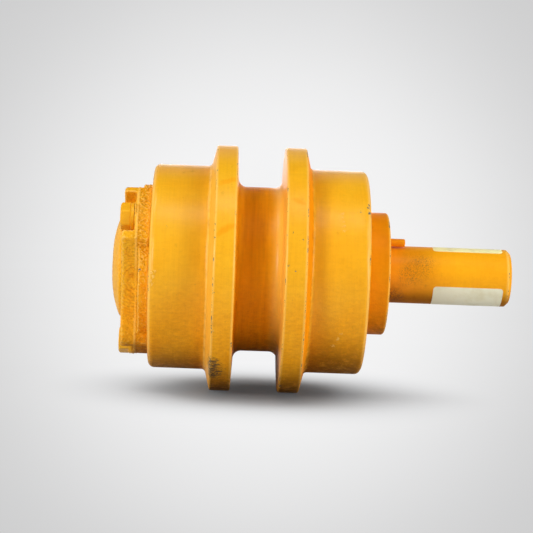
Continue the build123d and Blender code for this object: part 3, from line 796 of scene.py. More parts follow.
# Nicks scattered on the shell's edges, with the ranges of width and depth in millimetres.
NICK_COUNT = 70
NICK_WIDTHS = (0.9, 2.6)
NICK_DEPTHS = (0.15, 0.5)

# The shell's middle for masks, which read stations in millimetres. There its left end face is at
# -233.4, the left rim from -172.0 to -151.4, the right rim from -104.4 to -83.8 and the other end
# face at -22.4.
MIDDLE = -127.9


def shell_outside(sizes):
    """Corners of the outside from the middle to the pin's end, as (radius, station, rounding)."""
    flange = SHELL_HIGH.z
    tread = sizes.tread_diameter / 2
    waist = sizes.waist_diameter / 2
    rim_inside = sizes.rim_gap / 2
    rim_outside = rim_inside + sizes.rim_width
    outer_root = rim_outside + (flange - tread) * math.tan(FLANGE_OUTER_DRAFT)
    inner_root = rim_inside - (flange - waist) * math.tan(FLANGE_INNER_DRAFT)
    return [
        (waist, inner_root, sizes.waist_fillet),
        (flange, rim_inside, sizes.rim_rounding),
        (flange, rim_outside, sizes.rim_rounding),
        (tread, outer_root, sizes.tread_root),
        (tread, SHELL_HALF, sizes.tread_rounding),
    ]


def shell_inside(sizes):
    """Corners of the inside from the pin's end to the cover's end, as (radius, station)."""
    counterbore = sizes.counterbore_diameter / 2
    counterbore_floor = SHELL_HALF - sizes.counterbore_depth
    pilot = sizes.pilot_diameter / 2
    bore = [
        (CUP_ENTRY, CUP_FRONT),
        (CUP_OUTSIDE, CUP_FRONT),
        (CUP_OUTSIDE, CUP_BACK),
        (CUP_SHOULDER, CUP_BACK),
        (CUP_SHOULDER, CUP_SHOULDER_END),
        (RESERVOIR, RESERVOIR_END),
    ]
    return [
        (counterbore, SHELL_HALF),
        (counterbore, counterbore_floor),
        (SEAL_MOUTH, counterbore_floor),
        (SEAL_SEAT, counterbore_floor - SEAL_DEPTH),
        (CUP_ENTRY, counterbore_floor - SEAL_DEPTH),
        *bore,
        *[(radius, -station) for radius, station in reversed(bore)],
        (CUP_ENTRY, -PILOT_FLOOR),
        (pilot, -PILOT_FLOOR),
        (pilot, -SHELL_HALF),
    ]


def scattered_nicks(half):
    """Small dents along the edges of rims and treads, as (x, y, z, width, depth)."""
    _, rim_inside, rim_outside, _, tread_end = half
    tread_edge = (tread_end[0] - 2 * MM, tread_end[1] - MM)
    dice = random.Random(12)
    nicks = []
    for _ in range(NICK_COUNT):
        side = dice.choice((-1, 1))
        radius, station = dice.choice((rim_inside[:2], rim_outside[:2], tread_edge))
        place = round_place(radius, SHELL_MIDDLE + side * station, dice.uniform(0, 360))
        nicks.append((*place, dice.uniform(*NICK_WIDTHS) * MM, dice.uniform(*NICK_DEPTHS) * MM))
    return nicks


def placed(marks):
    """Marks of (radius, station, angle, width, depth) in millimetres, as (x, y, z, width, depth)."""
    return [
        (*round_place(radius * MM, station * MM, angle), width * MM, depth * MM)
        for radius, station, angle, width, depth in marks
    ]


def waist_in_flange_shadow(finish):
    """1 on the waist towards the left flange, where that flange's shadow falls and is painted in as orange
    shade.
    """
    radius, station, _ = finish.cylinder()
    return station.window(-152.5, -148.5, -122, -112) * (1 - radius.between(108, 121))


def shell_smears(finish):
    """Arcs of thin coat where a brush turned on the rims."""
    wander = finish.noise(0.09, 3, 0.6, offset=99) * 10 - 5
    arcs = []
    for station, angle, radius, middle, reach in SHELL_SMEARS:
        away = finish.distance_to(122.2, station, angle) + wander
        near = finish.distance_to(122.2, station - 10, middle)
        arcs.append((1 - abs(away - radius).between(1.2, 4.5)) * (1 - near.between(reach * 0.6, reach)))
    return highest(arcs)


def shell_orange_and_shade(finish):
    """The orange coat's share: painted shade on the waist, low down and on the right flange's cone, and
    orange in the smears.
    """
    radius, station, height = finish.cylinder()
    # On the right flange's outer cone and lower down, the orange is painted shade.
    right_cone = station.window(-85.5, -83.5, -80, -75) * radius.between(101.3, 103)
    low = (-height).between(-20, 75) * 0.45
    return (waist_in_flange_shadow(finish) * 0.3 + low + shell_smears(finish) * 0.42).at_least(right_cone * 0.95)


def shell_painted_sheen(finish):
    """Painted sheen on the left flange's cone and on the right flange's inner side."""
    radius, station, _ = finish.cylinder()
    left_cone = station.window(-185, -180, -173, -171.5) * radius.between(102, 106)
    return left_cone * 0.35 + station.window(-118, -109, -104.6, -104.2) * 0.5


def shell_shade_and_dirt(finish):
    """Painted shade, broken up like dirt, on the undersides, in the treads' roots and in a faint band on the
    left tread.
    """
    radius, station, height = finish.cylinder()
    patchy = finish.noise(0.12, 6, 0.75, offset=83)
    # It begins higher on the right tread and the waist than on the left cone and the rims.
    raised = station.between(-80, -74) * 14 + (1 - radius.between(84, 98)) * 17
    lowered = station.window(-184, -178, -173, -171) * 26 + radius.between(106, 119) * 13
    under = (raised - lowered - height).between(62, 106) * (patchy * 0.9 + 0.1).between(0.28, 0.62) * 0.8
    roots = (1 - abs(radius - 102).between(0.5, 3.5)) * (1 - abs(abs(station - MIDDLE) - 48.5).between(1, 5))
    band = station.window(-208, -196, -188, -181) * height.between(-90, 40) * 0.10
    return (under + band + roots * patchy.between(0.35, 0.7) * 0.35).up_to(0.95)


def shell_soot(finish):
    """Specks of greasy dirt at the rims' feet."""
    specks = finish.noise(0.34, 6, 0.85, stretch=(1.2, 0.6, 1.4), offset=88)
    spots = []
    for station, angle, reach in SHELL_SOOT:
        spots.append((1 - finish.distance_to(122, station, angle).between(reach * 0.1, reach)) * 0.45)
    return (specks * 1.9 - 0.45 + highest(spots)).between(0.70, 1.06) * 0.92


def shell_enamel(colours):
    """The shell's coat, worn on the edges of rims and treads and with a painted highlight beside them."""
    edges = [(121.8, MIDDLE + side * station) for side in (-1, 1) for station in (23.8, 43.8)]
    edges += [(98.5, MIDDLE + side * 105) for side in (-1, 1)]
    ridges = [(99.7, MIDDLE + side * 103.7) for side in (-1, 1)]
    ridges += [(121.7, MIDDLE + side * station) for side in (-1, 1) for station in (24.1, 43.5)]
    ridges += [(102.0, -177.2)]
    return enamel(
        "shell_enamel", colours, colours.yellow, colours.orange, edges, SHELL_CHIPS, shell_orange_and_shade,
        streaks=0.16, grime=shell_shade_and_dirt, dull=waist_in_flange_shadow, ridges=ridges, beads=SHELL_BEADS,
        soot=shell_soot, pale=shell_painted_sheen,
    )


class BuildShell(bpy.types.Operator):
    """Turn the shell with its treads, flanges and waist, and paint it"""

    bl_idname = "roller.build_shell"
    bl_label = "Shell"

    def execute(self, context):
        sizes, colours, studio = settings_of(context)
        half = shell_outside(sizes)
        outside = [(radius, -station, rounding) for radius, station, rounding in reversed(half)] + half
        inside = shell_inside(sizes)
        corners = [(corner[0], corner[1] + SHELL_MIDDLE, *corner[2:]) for corner in outside + inside]
        steps = [OUTSIDE_RUN] * (len(outside) - 1) + [INSIDE_RUN] * (len(inside) + 1)
        nicks = scattered_nicks(half) + placed(SHELL_CHIPS)
        beads = placed(SHELL_BEADS)

        def relief(radius, station, angle):
            """Soft waves with the nicks and chips set in and the beads standing out."""
            points = round_points(radius, station, angle)
            waves = (soft_waves(points, 14.0) + 0.9) * 0.16 * MM
            return waves + dents(points, nicks) - dents(points, beads)

        turned_piece(
            "painted_shell", corners, steps, studio.turns, PAINTED_BODY, shell_enamel(colours),
            ("roller_shell",), relief,
        )
        return {"FINISHED"}


# The cover's casting: the grid it is remeshed on, the depth of its skin, and the parting seam's height
# above the shell's end face, its width and how far it stands out. The rough band lies below the seam.
COVER_VOXEL = 1.0 * MM
SKIN_DEPTH = 0.6 * MM
CASTING_SEAM = 12.5 * MM
SEAM_WIDTH = 0.9 * MM
SEAM_RISE = 0.7 * MM
ROUGH_BAND_RISE = 0.9 * MM
LOBE_END = -89.3 * MM
LOBE_SLOPE = 0.11
RIPPLE_SPACING = 2.4


def remeshed(node, voxel, passes):
    """The CAD node's mesh, welded, remeshed evenly and smoothed."""
    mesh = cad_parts[node].data.copy()
    weld(mesh, facing=None)
    rough = bpy.data.objects.new(node + "_rough", mesh)
    bpy.context.scene.collection.objects.link(rough)
    grid = rough.modifiers.new("grid", "REMESH")
    grid.mode = "VOXEL"
    grid.voxel_size = voxel
    soft = rough.modifiers.new("soft", "SMOOTH")
    soft.factor = 0.5
    soft.iterations = passes
    bpy.context.view_layer.update()
    even = rough.evaluated_get(bpy.context.evaluated_depsgraph_get())
    made = bpy.data.meshes.new_from_object(even)
    bpy.data.objects.remove(rough)
    if len(made.vertices) < 1000:
        raise RuntimeError(f"remeshing {node} left {len(made.vertices)} points")
    return made


def read_points(values, attribute):
    """An array of a mesh collection's three-number attribute."""
    found = np.empty(len(values) * 3)
    values.foreach_get(attribute, found)
    return found.reshape(-1, 3)


def cast_skin(mesh):
    """Gives a mesh a sand casting's skin, a parting seam round it and a rough band below the seam."""
    points = read_points(mesh.vertices, "co")
    normals = read_points(mesh.vertex_normals, "vector")
    broad = soft_waves(points, 60)
    fine = soft_waves(points, 330, 3)
    inward = np.clip(0.25 - broad * 0.5 - fine * 0.5, 0, 1) * SKIN_DEPTH
    height = SHELL_LOW.y - points[:, 1]
    sideways = np.clip(1.5 - 2 * np.abs(normals[:, 1]), 0, 1)
    seam = np.exp(-(((height - CASTING_SEAM) / SEAM_WIDTH) ** 2))
    band = np.clip(height / (2 * MM) - 0.5, 0, 1) * np.clip((CASTING_SEAM - height) / (2 * MM), 0, 1)
    worms = np.clip(1 - np.abs(soft_waves(points, 190)) * 5, 0, 1)
    rough = 0.3 + 0.7 * np.clip(points[:, 2] / (30 * MM) + 0.6, 0, 1)
    outward = sideways * (seam * SEAM_RISE + band * worms * rough * ROUGH_BAND_RISE)
    mesh.vertices.foreach_set("co", (points + normals * (outward - inward)[:, None]).ravel())
    mesh.update()


def mark_crests(mesh):
    """Stores how far each point stands above its neighbours, to tell crests from hollows."""
    points = read_points(mesh.vertices, "co")
    normals = read_points(mesh.vertex_normals, "vector")
    ends = np.empty(len(mesh.edges) * 2, int)
    mesh.edges.foreach_get("vertices", ends)
    one, other = ends.reshape(-1, 2).transpose()
    apart = points[one] - points[other]
    apart /= np.maximum(np.linalg.norm(apart, axis=1, keepdims=True), 1e-9)
    neighbours = np.bincount(ends, minlength=len(points))

    def gathered(at_one, at_other):
        """The mean at each point of values given at both ends of its edges."""
        total = np.bincount(one, at_one, len(points)) + np.bincount(other, at_other, len(points))
        return total / np.maximum(neighbours, 1)

    rise = gathered((apart * normals[one]).sum(axis=1), -(apart * normals[other]).sum(axis=1))
    rise = (rise + gathered(rise[other], rise[one])) / 2
    mesh.attributes.new("crest", "FLOAT", "POINT").data.foreach_set("value", rise)


def ground_lobe(mesh):
    """Slopes the end of the lobe that hangs down, which is ground off in the photograph."""
    points = read_points(mesh.vertices, "co")
    lowest = LOBE_END + LOBE_SLOPE * (SHELL_LOW.y - points[:, 1])
    points[:, 2] = np.maximum(points[:, 2], lowest)
    mesh.vertices.foreach_set("co", points.ravel())
    mesh.update()


def cover_orange_and_shade(finish):
    """The orange coat's share: painted shade on the band below the seam and low down, and orange pools at
    random.
    """
    _, station, height = finish.cylinder()
    pools = finish.noise(0.10, 3, 0.6, offset=45).between(0.42, 0.62) * 0.25
    low = (-height).between(-20, 75) * 0.3
    return station.window(-246, -244, -236, -234) * 0.15 + pools + low


def cover_ripples(finish):
    """Arcs in the scooped wall, left by the pattern's cutter."""
    _, station, _ = finish.cylinder()
    away = finish.distance_to(80, -246, -13)
    drifting = away + finish.noise(0.12, 2, 0.5, offset=97) * 5
    turn = drifting * (2 * math.pi / RIPPLE_SPACING)
    wave = finish.node("ShaderNodeMath", {"operation": "SINE"}, {0: turn})
    return wave * (1 - away.between(26, 50)) * (1 - station.between(-248, -246)) * 0.06


def cover_shade_and_dirt(finish):
    """Painted shade, broken up like dirt, on the undersides."""
    _, _, height = finish.cylinder()
    patchy = finish.noise(0.14, 6, 0.75, offset=83)
    return (-height).between(58, 84) * patchy.between(0.2, 0.6) * 0.85


def cover_painted_highlight(finish):
    """Painted highlight on the parting seam and on the dome."""
    radius, station, _ = finish.cylinder()
    seam = station.window(-248.0, -246.6, -245.4, -244.4) * radius.between(62, 72)
    dome = (1 - station.between(-265, -262)) * (1 - radius.between(50, 54))
    return seam * 0.45 + dome * 0.35


class BuildCover(bpy.types.Operator):
    """Cast the three-lobed end cover, and paint it"""

    bl_idname = "roller.build_cover"
    bl_label = "End cover"

    def execute(self, context):
        colours = context.scene.roller_colours
        mesh = remeshed("end_cover", COVER_VOXEL, 2)
        cast_skin(mesh)
        ground_lobe(mesh)
        cover = bpy.data.objects.new("cast_cover", mesh)
        context.scene.collection.objects.link(cover)
        # The cover gets painted highlights on crests, the seam and the dome, and painted shade in hollows and
        # underneath.
        finish = enamel(
            "cover_enamel", colours, colours.yellow, colours.orange, (), COVER_CHIPS, cover_orange_and_shade, cast=0.34,
            grime=cover_shade_and_dirt, crests=True, carving=cover_ripples, pale=cover_painted_highlight, shine=0.3,
        )
        settled(cover, PAINTED_BODY, finish, ("end_cover",), 60)
        mark_crests(cover.data)
        return {"FINISHED"}


BOLT_TURNS = 96
LOBE_ANGLES = (42, 162, 282)
BOLT_TURN = math.radians(14)
SHANK_LENGTH = 20 * MM
SHANK = 8 * MM
CROWN_ANGLE = math.radians(30)
CROWN_STEPS = 12
# A bolt's hexagon has its corners rounded off at this share of half its width.
CORNER_SHARE = 1.135
WASHER_BORE = 8.3 * MM
WASHER_SOFTNESS = 0.45 * MM
WASHER_HALF_SPLIT = 0.8 * MM
WASHER_TURN = math.radians(200)
WASHER_STEPS = 90
PLUG = 9 * MM
PLUG_LENGTH = 8 * MM
PLUG_SOCKET = 8 * MM


def hexagon(width):
    """Radii of a hexagon of that width across its flats."""
    folded = (round_angles(BOLT_TURNS) + math.pi / 6) % (math.pi / 3) - math.pi / 6
    return width / 2 / np.cos(folded)


def bolt_rings(sizes):
    """Rings of a bolt from its shank's end to the middle of its head, above the washer's seat."""
    half_width = sizes.bolt_head_width / 2
    flats = np.minimum(hexagon(sizes.bolt_head_width), half_width * CORNER_SHARE)
    crown_top = half_width - 0.6 * MM
    head = sizes.bolt_head_height
    washer = sizes.washer_thickness
    rings = [
        (0.0, -SHANK_LENGTH),
        (SHANK - 0.4 * MM, -SHANK_LENGTH),
        (SHANK, 0.5 * MM - SHANK_LENGTH),
        (SHANK, washer - 0.01 * MM),
        (flats - 1.2 * MM, washer),
        (flats - 0.4 * MM, washer + 0.1 * MM),
        (flats, washer + 0.6 * MM),
    ]
    for step in range(1, CROWN_STEPS + 1):
        rise = head * step / CROWN_STEPS
        crown = crown_top + (head - rise) / math.tan(CROWN_ANGLE)
        rings.append((np.minimum(flats, crown), washer + rise))
    top = washer + head
    return rings + [(crown_top - 0.5 * MM, top), (crown_top * 0.6, top), (0.0, top)]


def plug_rings():
    """Rings of the oil plug from its inner end to its socket's floor, above its outer face."""
    socket = hexagon(PLUG_SOCKET)
    return [
        (0.0, -PLUG_LENGTH),
        (PLUG, -PLUG_LENGTH),
        (PLUG, -0.8 * MM),
        (PLUG - 0.25 * MM, -0.25 * MM),
        (PLUG - 0.8 * MM, 0),
        (socket + 0.5 * MM, 0),
        (socket + 0.15 * MM, -0.15 * MM),
        (socket, -0.5 * MM),
        (socket, -4.8 * MM),
        (socket * 0.9, -5 * MM),
        (0.0, -5.6 * MM),
    ]


def lock_washer(name, sizes, finish, centre, turn, replaced):
    """A split lock washer with softened edges."""
    outside = sizes.washer_diameter / 2
    thick = sizes.washer_thickness
    inside = WASHER_BORE
    soft = WASHER_SOFTNESS
    section = [
        (inside, soft), (inside + soft, 0), (outside - soft, 0), (outside, soft),
        (outside, thick - soft), (outside - soft, thick), (inside + soft, thick), (inside, thick - soft),
    ]
    half_gap = WASHER_HALF_SPLIT / outside
    points = []
    for step in range(WASHER_STEPS + 1):
        angle = turn + half_gap + (2 * math.pi - 2 * half_gap) * step / WASHER_STEPS
        across, up = math.cos(angle), math.sin(angle)
        for radius, height in section:
            points.append((centre[0] + radius * across, centre[1] - height, centre[2] + radius * up))
    sides = len(section)
    faces = ring_faces(WASHER_STEPS + 1, sides)
    faces.append(list(range(sides)))
    faces.append([WASHER_STEPS * sides + corner for corner in reversed(range(sides))])
    as_mesh(name, points, faces, PAINTED_BODY, finish, replaced)


class BuildFastenings(bpy.types.Operator):
    """Forge the cover's hex bolts, split washers and plug, and paint them"""

    bl_idname = "roller.build_fastenings"
    bl_label = "Bolts, washers and plug"

    def execute(self, context):
        sizes, colours, _ = settings_of(context)
        finish = enamel("bolt_enamel", colours, colours.yellow, colours.orange, cast=0.10)
        bolts, washers = ("cover_bolts",), ("cover_washers",)
        for number, lobe in enumerate(LOBE_ANGLES, 1):
            centre = round_place(sizes.bolt_circle, SHELL_LOW.y - sizes.bolt_seat, lobe)
            turn = math.radians(lobe)
            loft(
                f"cover_bolt_{number}", bolt_rings(sizes), centre, turn + BOLT_TURN, BOLT_TURNS, PAINTED_BODY,
                finish, bolts,
            )
            lock_washer(f"lock_washer_{number}", sizes, finish, centre, turn + WASHER_TURN, washers)
            # The first bolt and the first washer stand for all three in the CAD.
            bolts, washers = (), ()
        loft(
            "oil_plug", plug_rings(), (0, PLUG_FACE, 0), 0.3, BOLT_TURNS, PAINTED_BODY, finish,
            ("cover_plug",),
        )
        return {"FINISHED"}


COLLAR_TURNS = 288
DOWEL_TURNS = 64
DOWEL_ANGLE = 72
SEAT_STEP = 0.5 * MM
SEAT_CHAMFER = 0.3 * MM


def collar_corners(sizes):
    """Corners of the collar's section from its seal's mouth, round its outside, to its bore."""
    start = COLLAR_LOW.y
    web = start + SEAL_DEPTH
    seat = sizes.shaft_diameter / 2 + SEAT_STEP
    return [
        (SEAL_MOUTH, start),
        (COLLAR_HIGH.z, start, MM),
        (COLLAR_HIGH.z, 0, sizes.collar_rounding),
        (seat + SEAT_CHAMFER, 0),
        (seat, -SEAT_CHAMFER),
        (seat, web),
        (SEAL_SEAT, web),
    ]


def collar_relief(radius, station, angle):
    """Soft waves on the collar's outside."""
    waves = soft_waves(round_points(radius, station, angle), 18.0)
    return (waves + 0.9) * 0.06 * MM * (radius > 40 * MM)


def collar_shade_and_dirt(finish):
    """Painted shade, broken up like dirt, on the collar's underside."""
    _, _, height = finish.cylinder()
    patchy = finish.noise(0.14, 6, 0.75, offset=83)
    return (-height).between(28, 62) * patchy.between(0.25, 0.65) * 0.8


def dowel_rings(sizes):
    """Rings of the dowel from inside the collar to its free end, which is towards +Y."""
    radius = sizes.dowel_diameter / 2
    end = sizes.dowel_standout
    return [
        (0.0, MM),
        (radius, MM),
        (radius, -0.2 * MM),
        (radius, -end / 3),
        (radius, -end * 2 / 3),
        (radius, 1.3 * MM - end),
        (radius - 0.25 * MM, 0.6 * MM - end),
        (radius - 0.8 * MM, 0.15 * MM - end),
        (radius - 1.6 * MM, -end),
        (0.0, -end),
    ]


class BuildCollar(bpy.types.Operator):
    """Turn the collar and its dowel, and paint them"""

    bl_idname = "roller.build_collar"
    bl_label = "Collar and dowel"

    def execute(self, context):
        sizes, colours, _ = settings_of(context)
        # The longest run after each corner.
        steps = [3 * MM, 1.5 * MM, 2 * MM, MM, 8 * MM, 5 * MM, 5 * MM]
        # The collar's outer edge gets a painted highlight.
        finish = enamel(
            "collar_enamel", colours, colours.orange, colours.yellow, ((60.2, -0.8),), streaks=0.10,
            grime=collar_shade_and_dirt, shine=0.06, ridges=((59.9, -0.5),),
        )
        turned_piece(
            "painted_collar", collar_corners(sizes), steps, COLLAR_TURNS, FIXED_BODY, finish,
            ("seal_collar",), collar_relief,
        )
        foot = round_place(sizes.dowel_radius, 0, DOWEL_ANGLE)
        loft(
            "painted_dowel", dowel_rings(sizes), foot, 0, DOWEL_TURNS, FIXED_BODY, finish,
            ("dowel_pin",),
        )
        return {"FINISHED"}


# Radii of the shaft inside the roller, and how far from the shell's middle they start.
SHAFT_TURNS = 240
JOURNAL = 25 * MM
JOURNAL_CHAMFER = 1.5 * MM
JOURNAL_START = 58 * MM
BARREL = 24.2 * MM
BARREL_START = 57.2 * MM
SHOULDER = 33 * MM
SHOULDER_START = 82.75 * MM
# How far the shoulder ends inside the collar's face, and the centre hole in the pin's end.
SHOULDER_DEPTH = 15.7 * MM
CENTRE_MOUTH = 6 * MM
CENTRE_DRILL = 3 * MM


def shaft_corners(sizes):
    """Corners of the shaft from the middle of its hidden end to the centre hole in its free end."""
    start = SHAFT_LOW.y
    end = SHAFT_HIGH.y
    pin = sizes.shaft_diameter / 2
    chamfer = sizes.shaft_chamfer
    return [
        (0.0, start),
        (JOURNAL - JOURNAL_CHAMFER, start),
        (JOURNAL, start + JOURNAL_CHAMFER),
        (JOURNAL, SHELL_MIDDLE - JOURNAL_START),
        (BARREL, SHELL_MIDDLE - BARREL_START),
        (BARREL, SHELL_MIDDLE + BARREL_START),
        (JOURNAL, SHELL_MIDDLE + JOURNAL_START),
        (JOURNAL, SHELL_MIDDLE + SHOULDER_START),
        (SHOULDER, SHELL_MIDDLE + SHOULDER_START),
        (SHOULDER, -SHOULDER_DEPTH),
        (pin + SEAT_STEP, -SHOULDER_DEPTH),
        (pin + SEAT_STEP, 0),
        (pin, 0),
        (pin, end - chamfer, 1.2 * MM),
        (pin - chamfer, end, 0.7 * MM),
        (CENTRE_MOUTH, end, 0.3 * MM),
        (CENTRE_DRILL, end - 5.2 * MM),
        (CENTRE_DRILL, end - 16 * MM),
        (0.0, end - 17.8 * MM),
    ]


def pin_relief(radius, station, angle):
    """Soft waves on the mounting pin, and a crease in its paint at the lower label."""
    points = round_points(radius, station, angle)
    waves = (soft_waves(points, 22.0) + 0.9) * 0.05 * MM
    crease = (*round_place(28.5 * MM, 95.4 * MM, -4.7), 2.4 * MM, 0.12 * MM)
    return np.where((station > 0) & (radius > 8 * MM), waves + dents(points, [crease]), 0)


def pin_region(finish):
    """The yellow coat's share, larger towards the pin's end."""
    _, station, _ = finish.cylinder()
    return station.between(30, 75) * 0.20 + 0.25


def pin_shade_and_dirt(finish):
    """Painted shade and dirt under the pin and in its root at the collar, and dirt in a scuff in front."""
    _, station, height = finish.cylinder()
    patchy = finish.noise(0.18, 6, 0.78, offset=83)
    fine = finish.noise(0.9, 4, 0.7, offset=93)
    under = (-height).between(9, 25) * patchy.between(0.1, 0.45) * 0.97
    root = (1 - station.between(3, 26)) * (-height).between(-2, 20) * 0.8 * patchy.between(0.2, 0.6)
    scuff = 1 - (finish.distance_to(28.5, 30, 22) + (patchy - 0.5) * 26).between(5, 24)
    return highest([under, root, scuff * fine.between(0.42, 0.66) * 0.4])


def pin_soot(finish):
    """Black specks in the scuff and low beside the collar."""
    dots = finish.noise(0.75, 4, 0.7, offset=95)
    scuff = finish.distance_to(28.5, 22, 4).up_to(finish.distance_to(28.5, 35, 26))
    away = scuff + finish.noise(0.1, 3, 0.6) * 14 - 7
    corner = finish.distance_to(28.5, 6, -52)
    spots = dots.between(0.50, 0.60) * (1 - away.between(0, 17)) * 0.5
    return spots.at_least(dots.between(0.40, 0.62) * (1 - corner.between(6, 17)) * 0.7)


LABEL_CORNER = 3.2 * MM
LABEL_ROWS = 40
LABEL_COLUMNS = 18
# Places along a label's rounded ends, closer together where its corners turn faster.
LABEL_END = (0, 0.15 * MM, 0.45 * MM, 0.9 * MM, 1.5 * MM, 2.3 * MM, LABEL_CORNER)
# How high a label lies on the pin, how much it waves and how deep its underside is sunk in the paint.
LABEL_LIFT = 0.10 * MM
LABEL_WAVE = 0.05 * MM
LABEL_SINK = 0.2 * MM


def build_label(name, sizes, film, first_angle, last_angle):
    """A thin label with rounded corners, bent round the pin between two angles."""
    pin = sizes.shaft_diameter / 2
    span = sizes.label_length
    height = math.radians(abs(last_angle - first_angle)) * pin
    middle = span - 2 * LABEL_CORNER
    stations = list(LABEL_END)
    stations += [LABEL_CORNER + middle * step / LABEL_COLUMNS for step in range(1, LABEL_COLUMNS)]
    stations += [span - place for place in reversed(LABEL_END)]
    top, bottom = [], []
    for place in stations:
        from_end = min(place, span - place)
        shortening = 0.0
        if from_end < LABEL_CORNER:
            shortening = LABEL_CORNER - math.sqrt(max(0.0, LABEL_CORNER**2 - (LABEL_CORNER - from_end) ** 2))
        half = height / 2 - shortening
        for row in range(LABEL_ROWS + 1):
            arc = height / 2 + half * (2 * row / LABEL_ROWS - 1)
            angle = first_angle + (last_angle - first_angle) * arc / height
            lift = LABEL_LIFT + LABEL_WAVE * noise.noise(Vector((place * 90, angle * 0.05, 3.0)))
            top.append(round_place(pin + lift, sizes.label_start + place, angle))
            bottom.append(round_place(pin - LABEL_SINK, sizes.label_start + place, angle))
    width = LABEL_ROWS + 1
    under = len(top)
    last = len(stations) - 1
    faces = []
    for column in range(last):
        for row in range(LABEL_ROWS):
            here = column * width + row
            faces.append((here, here + width, here + width + 1, here + 1))
            faces.append((under + here, under + here + 1, under + here + width + 1, under + here + width))
    rim = [column * width for column in range(last + 1)]
    rim += [last * width + row for row in range(1, width)]
    rim += [column * width + LABEL_ROWS for column in reversed(range(last))]
    rim += list(reversed(range(1, LABEL_ROWS)))
    for here, after in zip(rim, rim[1:] + rim[:1]):
        faces.append((here, under + here, under + after, after))
    as_mesh(name, top + bottom, faces, FIXED_BODY, film)


class BuildShaft(bpy.types.Operator):
    """Turn the shaft, paint its mounting pin and stick two blank labels on it"""

    bl_idname = "roller.build_shaft"
    bl_label = "Shaft and labels"

    def execute(self, context):
        sizes, colours, _ = settings_of(context)
        # The longest run after each corner.
        steps = [8 * MM] * 12 + [1.6 * MM] * 3 + [2 * MM] * 4
        # The pin's end gets a painted highlight at its chamfer.
        finish = enamel(
            "pin_enamel", colours, colours.orange, colours.yellow, ((28.0, 120.5),), (), pin_region,
            streaks=0.08, grime=pin_shade_and_dirt, peel=0.8, soot=pin_soot, shine=0.4, ridges=((28.2, 119.6),),
        )
        turned_piece(
            "painted_shaft", shaft_corners(sizes), steps, SHAFT_TURNS, FIXED_BODY, finish,
            ("shaft",), pin_relief, closed=False,
        )
        build_label("lower_label", sizes, paper_film("lower_label_film", colours.label), -18.0, -98.0)
        # The upper label's film is painted brighter and yellower, as light on its upward face.
        build_label("upper_label", sizes, paper_film("upper_label_film", colours.upper_label), 142.0, 62.5)
        return {"FINISHED"}


class FinishInside(bpy.types.Operator):
    """Give the bearings, nut, washers and seals inside their steel, iron and rubber"""

    bl_idname = "roller.finish_inside"
    bl_label = "Bearings and seals"

    def execute(self, context):
        colours = context.scene.roller_colours
        ground = worked_steel("ground_steel", colours.ground_steel, 0.16, 3.0)
        pressed = worked_steel("pressed_steel", colours.pressed_steel, 0.34, 0.8, patina=0.35)
        iron = worked_steel("seal_iron", colours.seal_iron, 0.26, 1.6, patina=0.15)
        rubber = moulded_rubber("seal_rubber", colours.rubber)
        finishes = {
            "bearing_lock_nut": ground,
            "lock_washer": pressed,
            "cover_o_ring": rubber,
            "collar_o_ring": rubber,
        }
        for bearing in ("outer_bearing_", "inner_bearing_"):
            finishes |= {bearing + part: ground for part in ("cup", "cone", "rollers")}
            finishes[bearing + "cage"] = pressed
        for seal in ("rotating_", "stationary_"):
            finishes |= {seal + "seal_ring": iron, seal + "toric_ring": rubber}
        for node, finish in finishes.items():
            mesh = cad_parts[node].data
            mesh.materials.clear()
            mesh.materials.append(finish)
        return {"FINISHED"}


# The photograph's camera: how far it is turned, raised and rolled, how far off it stands, its lens, how
# far it is shifted right and up, and the station that it is turned about.
CAMERA_YAW = math.radians(1.48)
CAMERA_RISE = math.radians(4.0)
CAMERA_ROLL = math.radians(2.23)
CAMERA_DISTANCE = 1.7284
CAMERA_LENS = 116.74
CAMERA_SHIFT = (2.94 * MM, 2.90 * MM)
CAMERA_STATION = -121.86 * MM

# Softboxes: degrees from the camera's side towards the cover's end, degrees up, distance and size.
SOFTBOXES = {
    "key": (42, 14, 2.0, 0.5),
    "top": (0, 64, 2.0, 0.6),
    "left": (72, 58, 2.0, 0.7),
    "right": (-60, 12, 2.0, 0.6),
    "high_right": (-60, 38, 2.0, 0.7),
    "low_left": (72, 3, 1.6, 0.25),
    "low_right": (-74, 3, 1.6, 0.25),
    "back": (180, 10, 2.2, 0.7),
    "floor": (180, 84, 1.5, 1.2),
}
FLOOR_SOFTBOX_WIDTH = 4.0

# The sweep's flat part, its cove and its wall. The paper is lit round the roller, and the unseen colour
# is what light scattered off other things meets.
SWEEP_TURNS = 96
SWEEP_FLAT = 2.6
SWEEP_COVE = 1.2
WALL_MIDDLE = 2.6
WALL_TOP = 5.0
COVE_STEPS = 12
PAPER_CENTRE = (0, SHELL_MIDDLE + 0.015, FLOOR_HEIGHT)
PAPER_COLOUR = (0.185, 0.190, 0.194, 1)
UNSEEN_COLOUR = (0.15, 0.15, 0.15, 1)


def photograph_camera():
    """Rotation, place and direction of the photograph's camera."""
    # A model with its X along the spin axis and its Y away from the camera turns into the frame by this.
    to_frame = Matrix(((0, -1, 0), (1, 0, 0), (0, 0, 1)))
    yaw = Matrix.Rotation(CAMERA_YAW, 3, "Z")
    rise = Matrix.Rotation(CAMERA_RISE, 3, "X")
    roll = Matrix.Rotation(CAMERA_ROLL, 3, "Y")
    back = to_frame @ (roll @ rise @ yaw).transposed()
    place = back @ Vector((CAMERA_SHIFT[0], -CAMERA_DISTANCE, CAMERA_SHIFT[1]))
    right, ahead, up = (back @ Vector(axis) for axis in ((1, 0, 0), (0, 1, 0), (0, 0, 1)))
    turn = Matrix((right, up, -ahead)).transposed()
    return turn, place + Vector((0, CAMERA_STATION, 0)), ahead


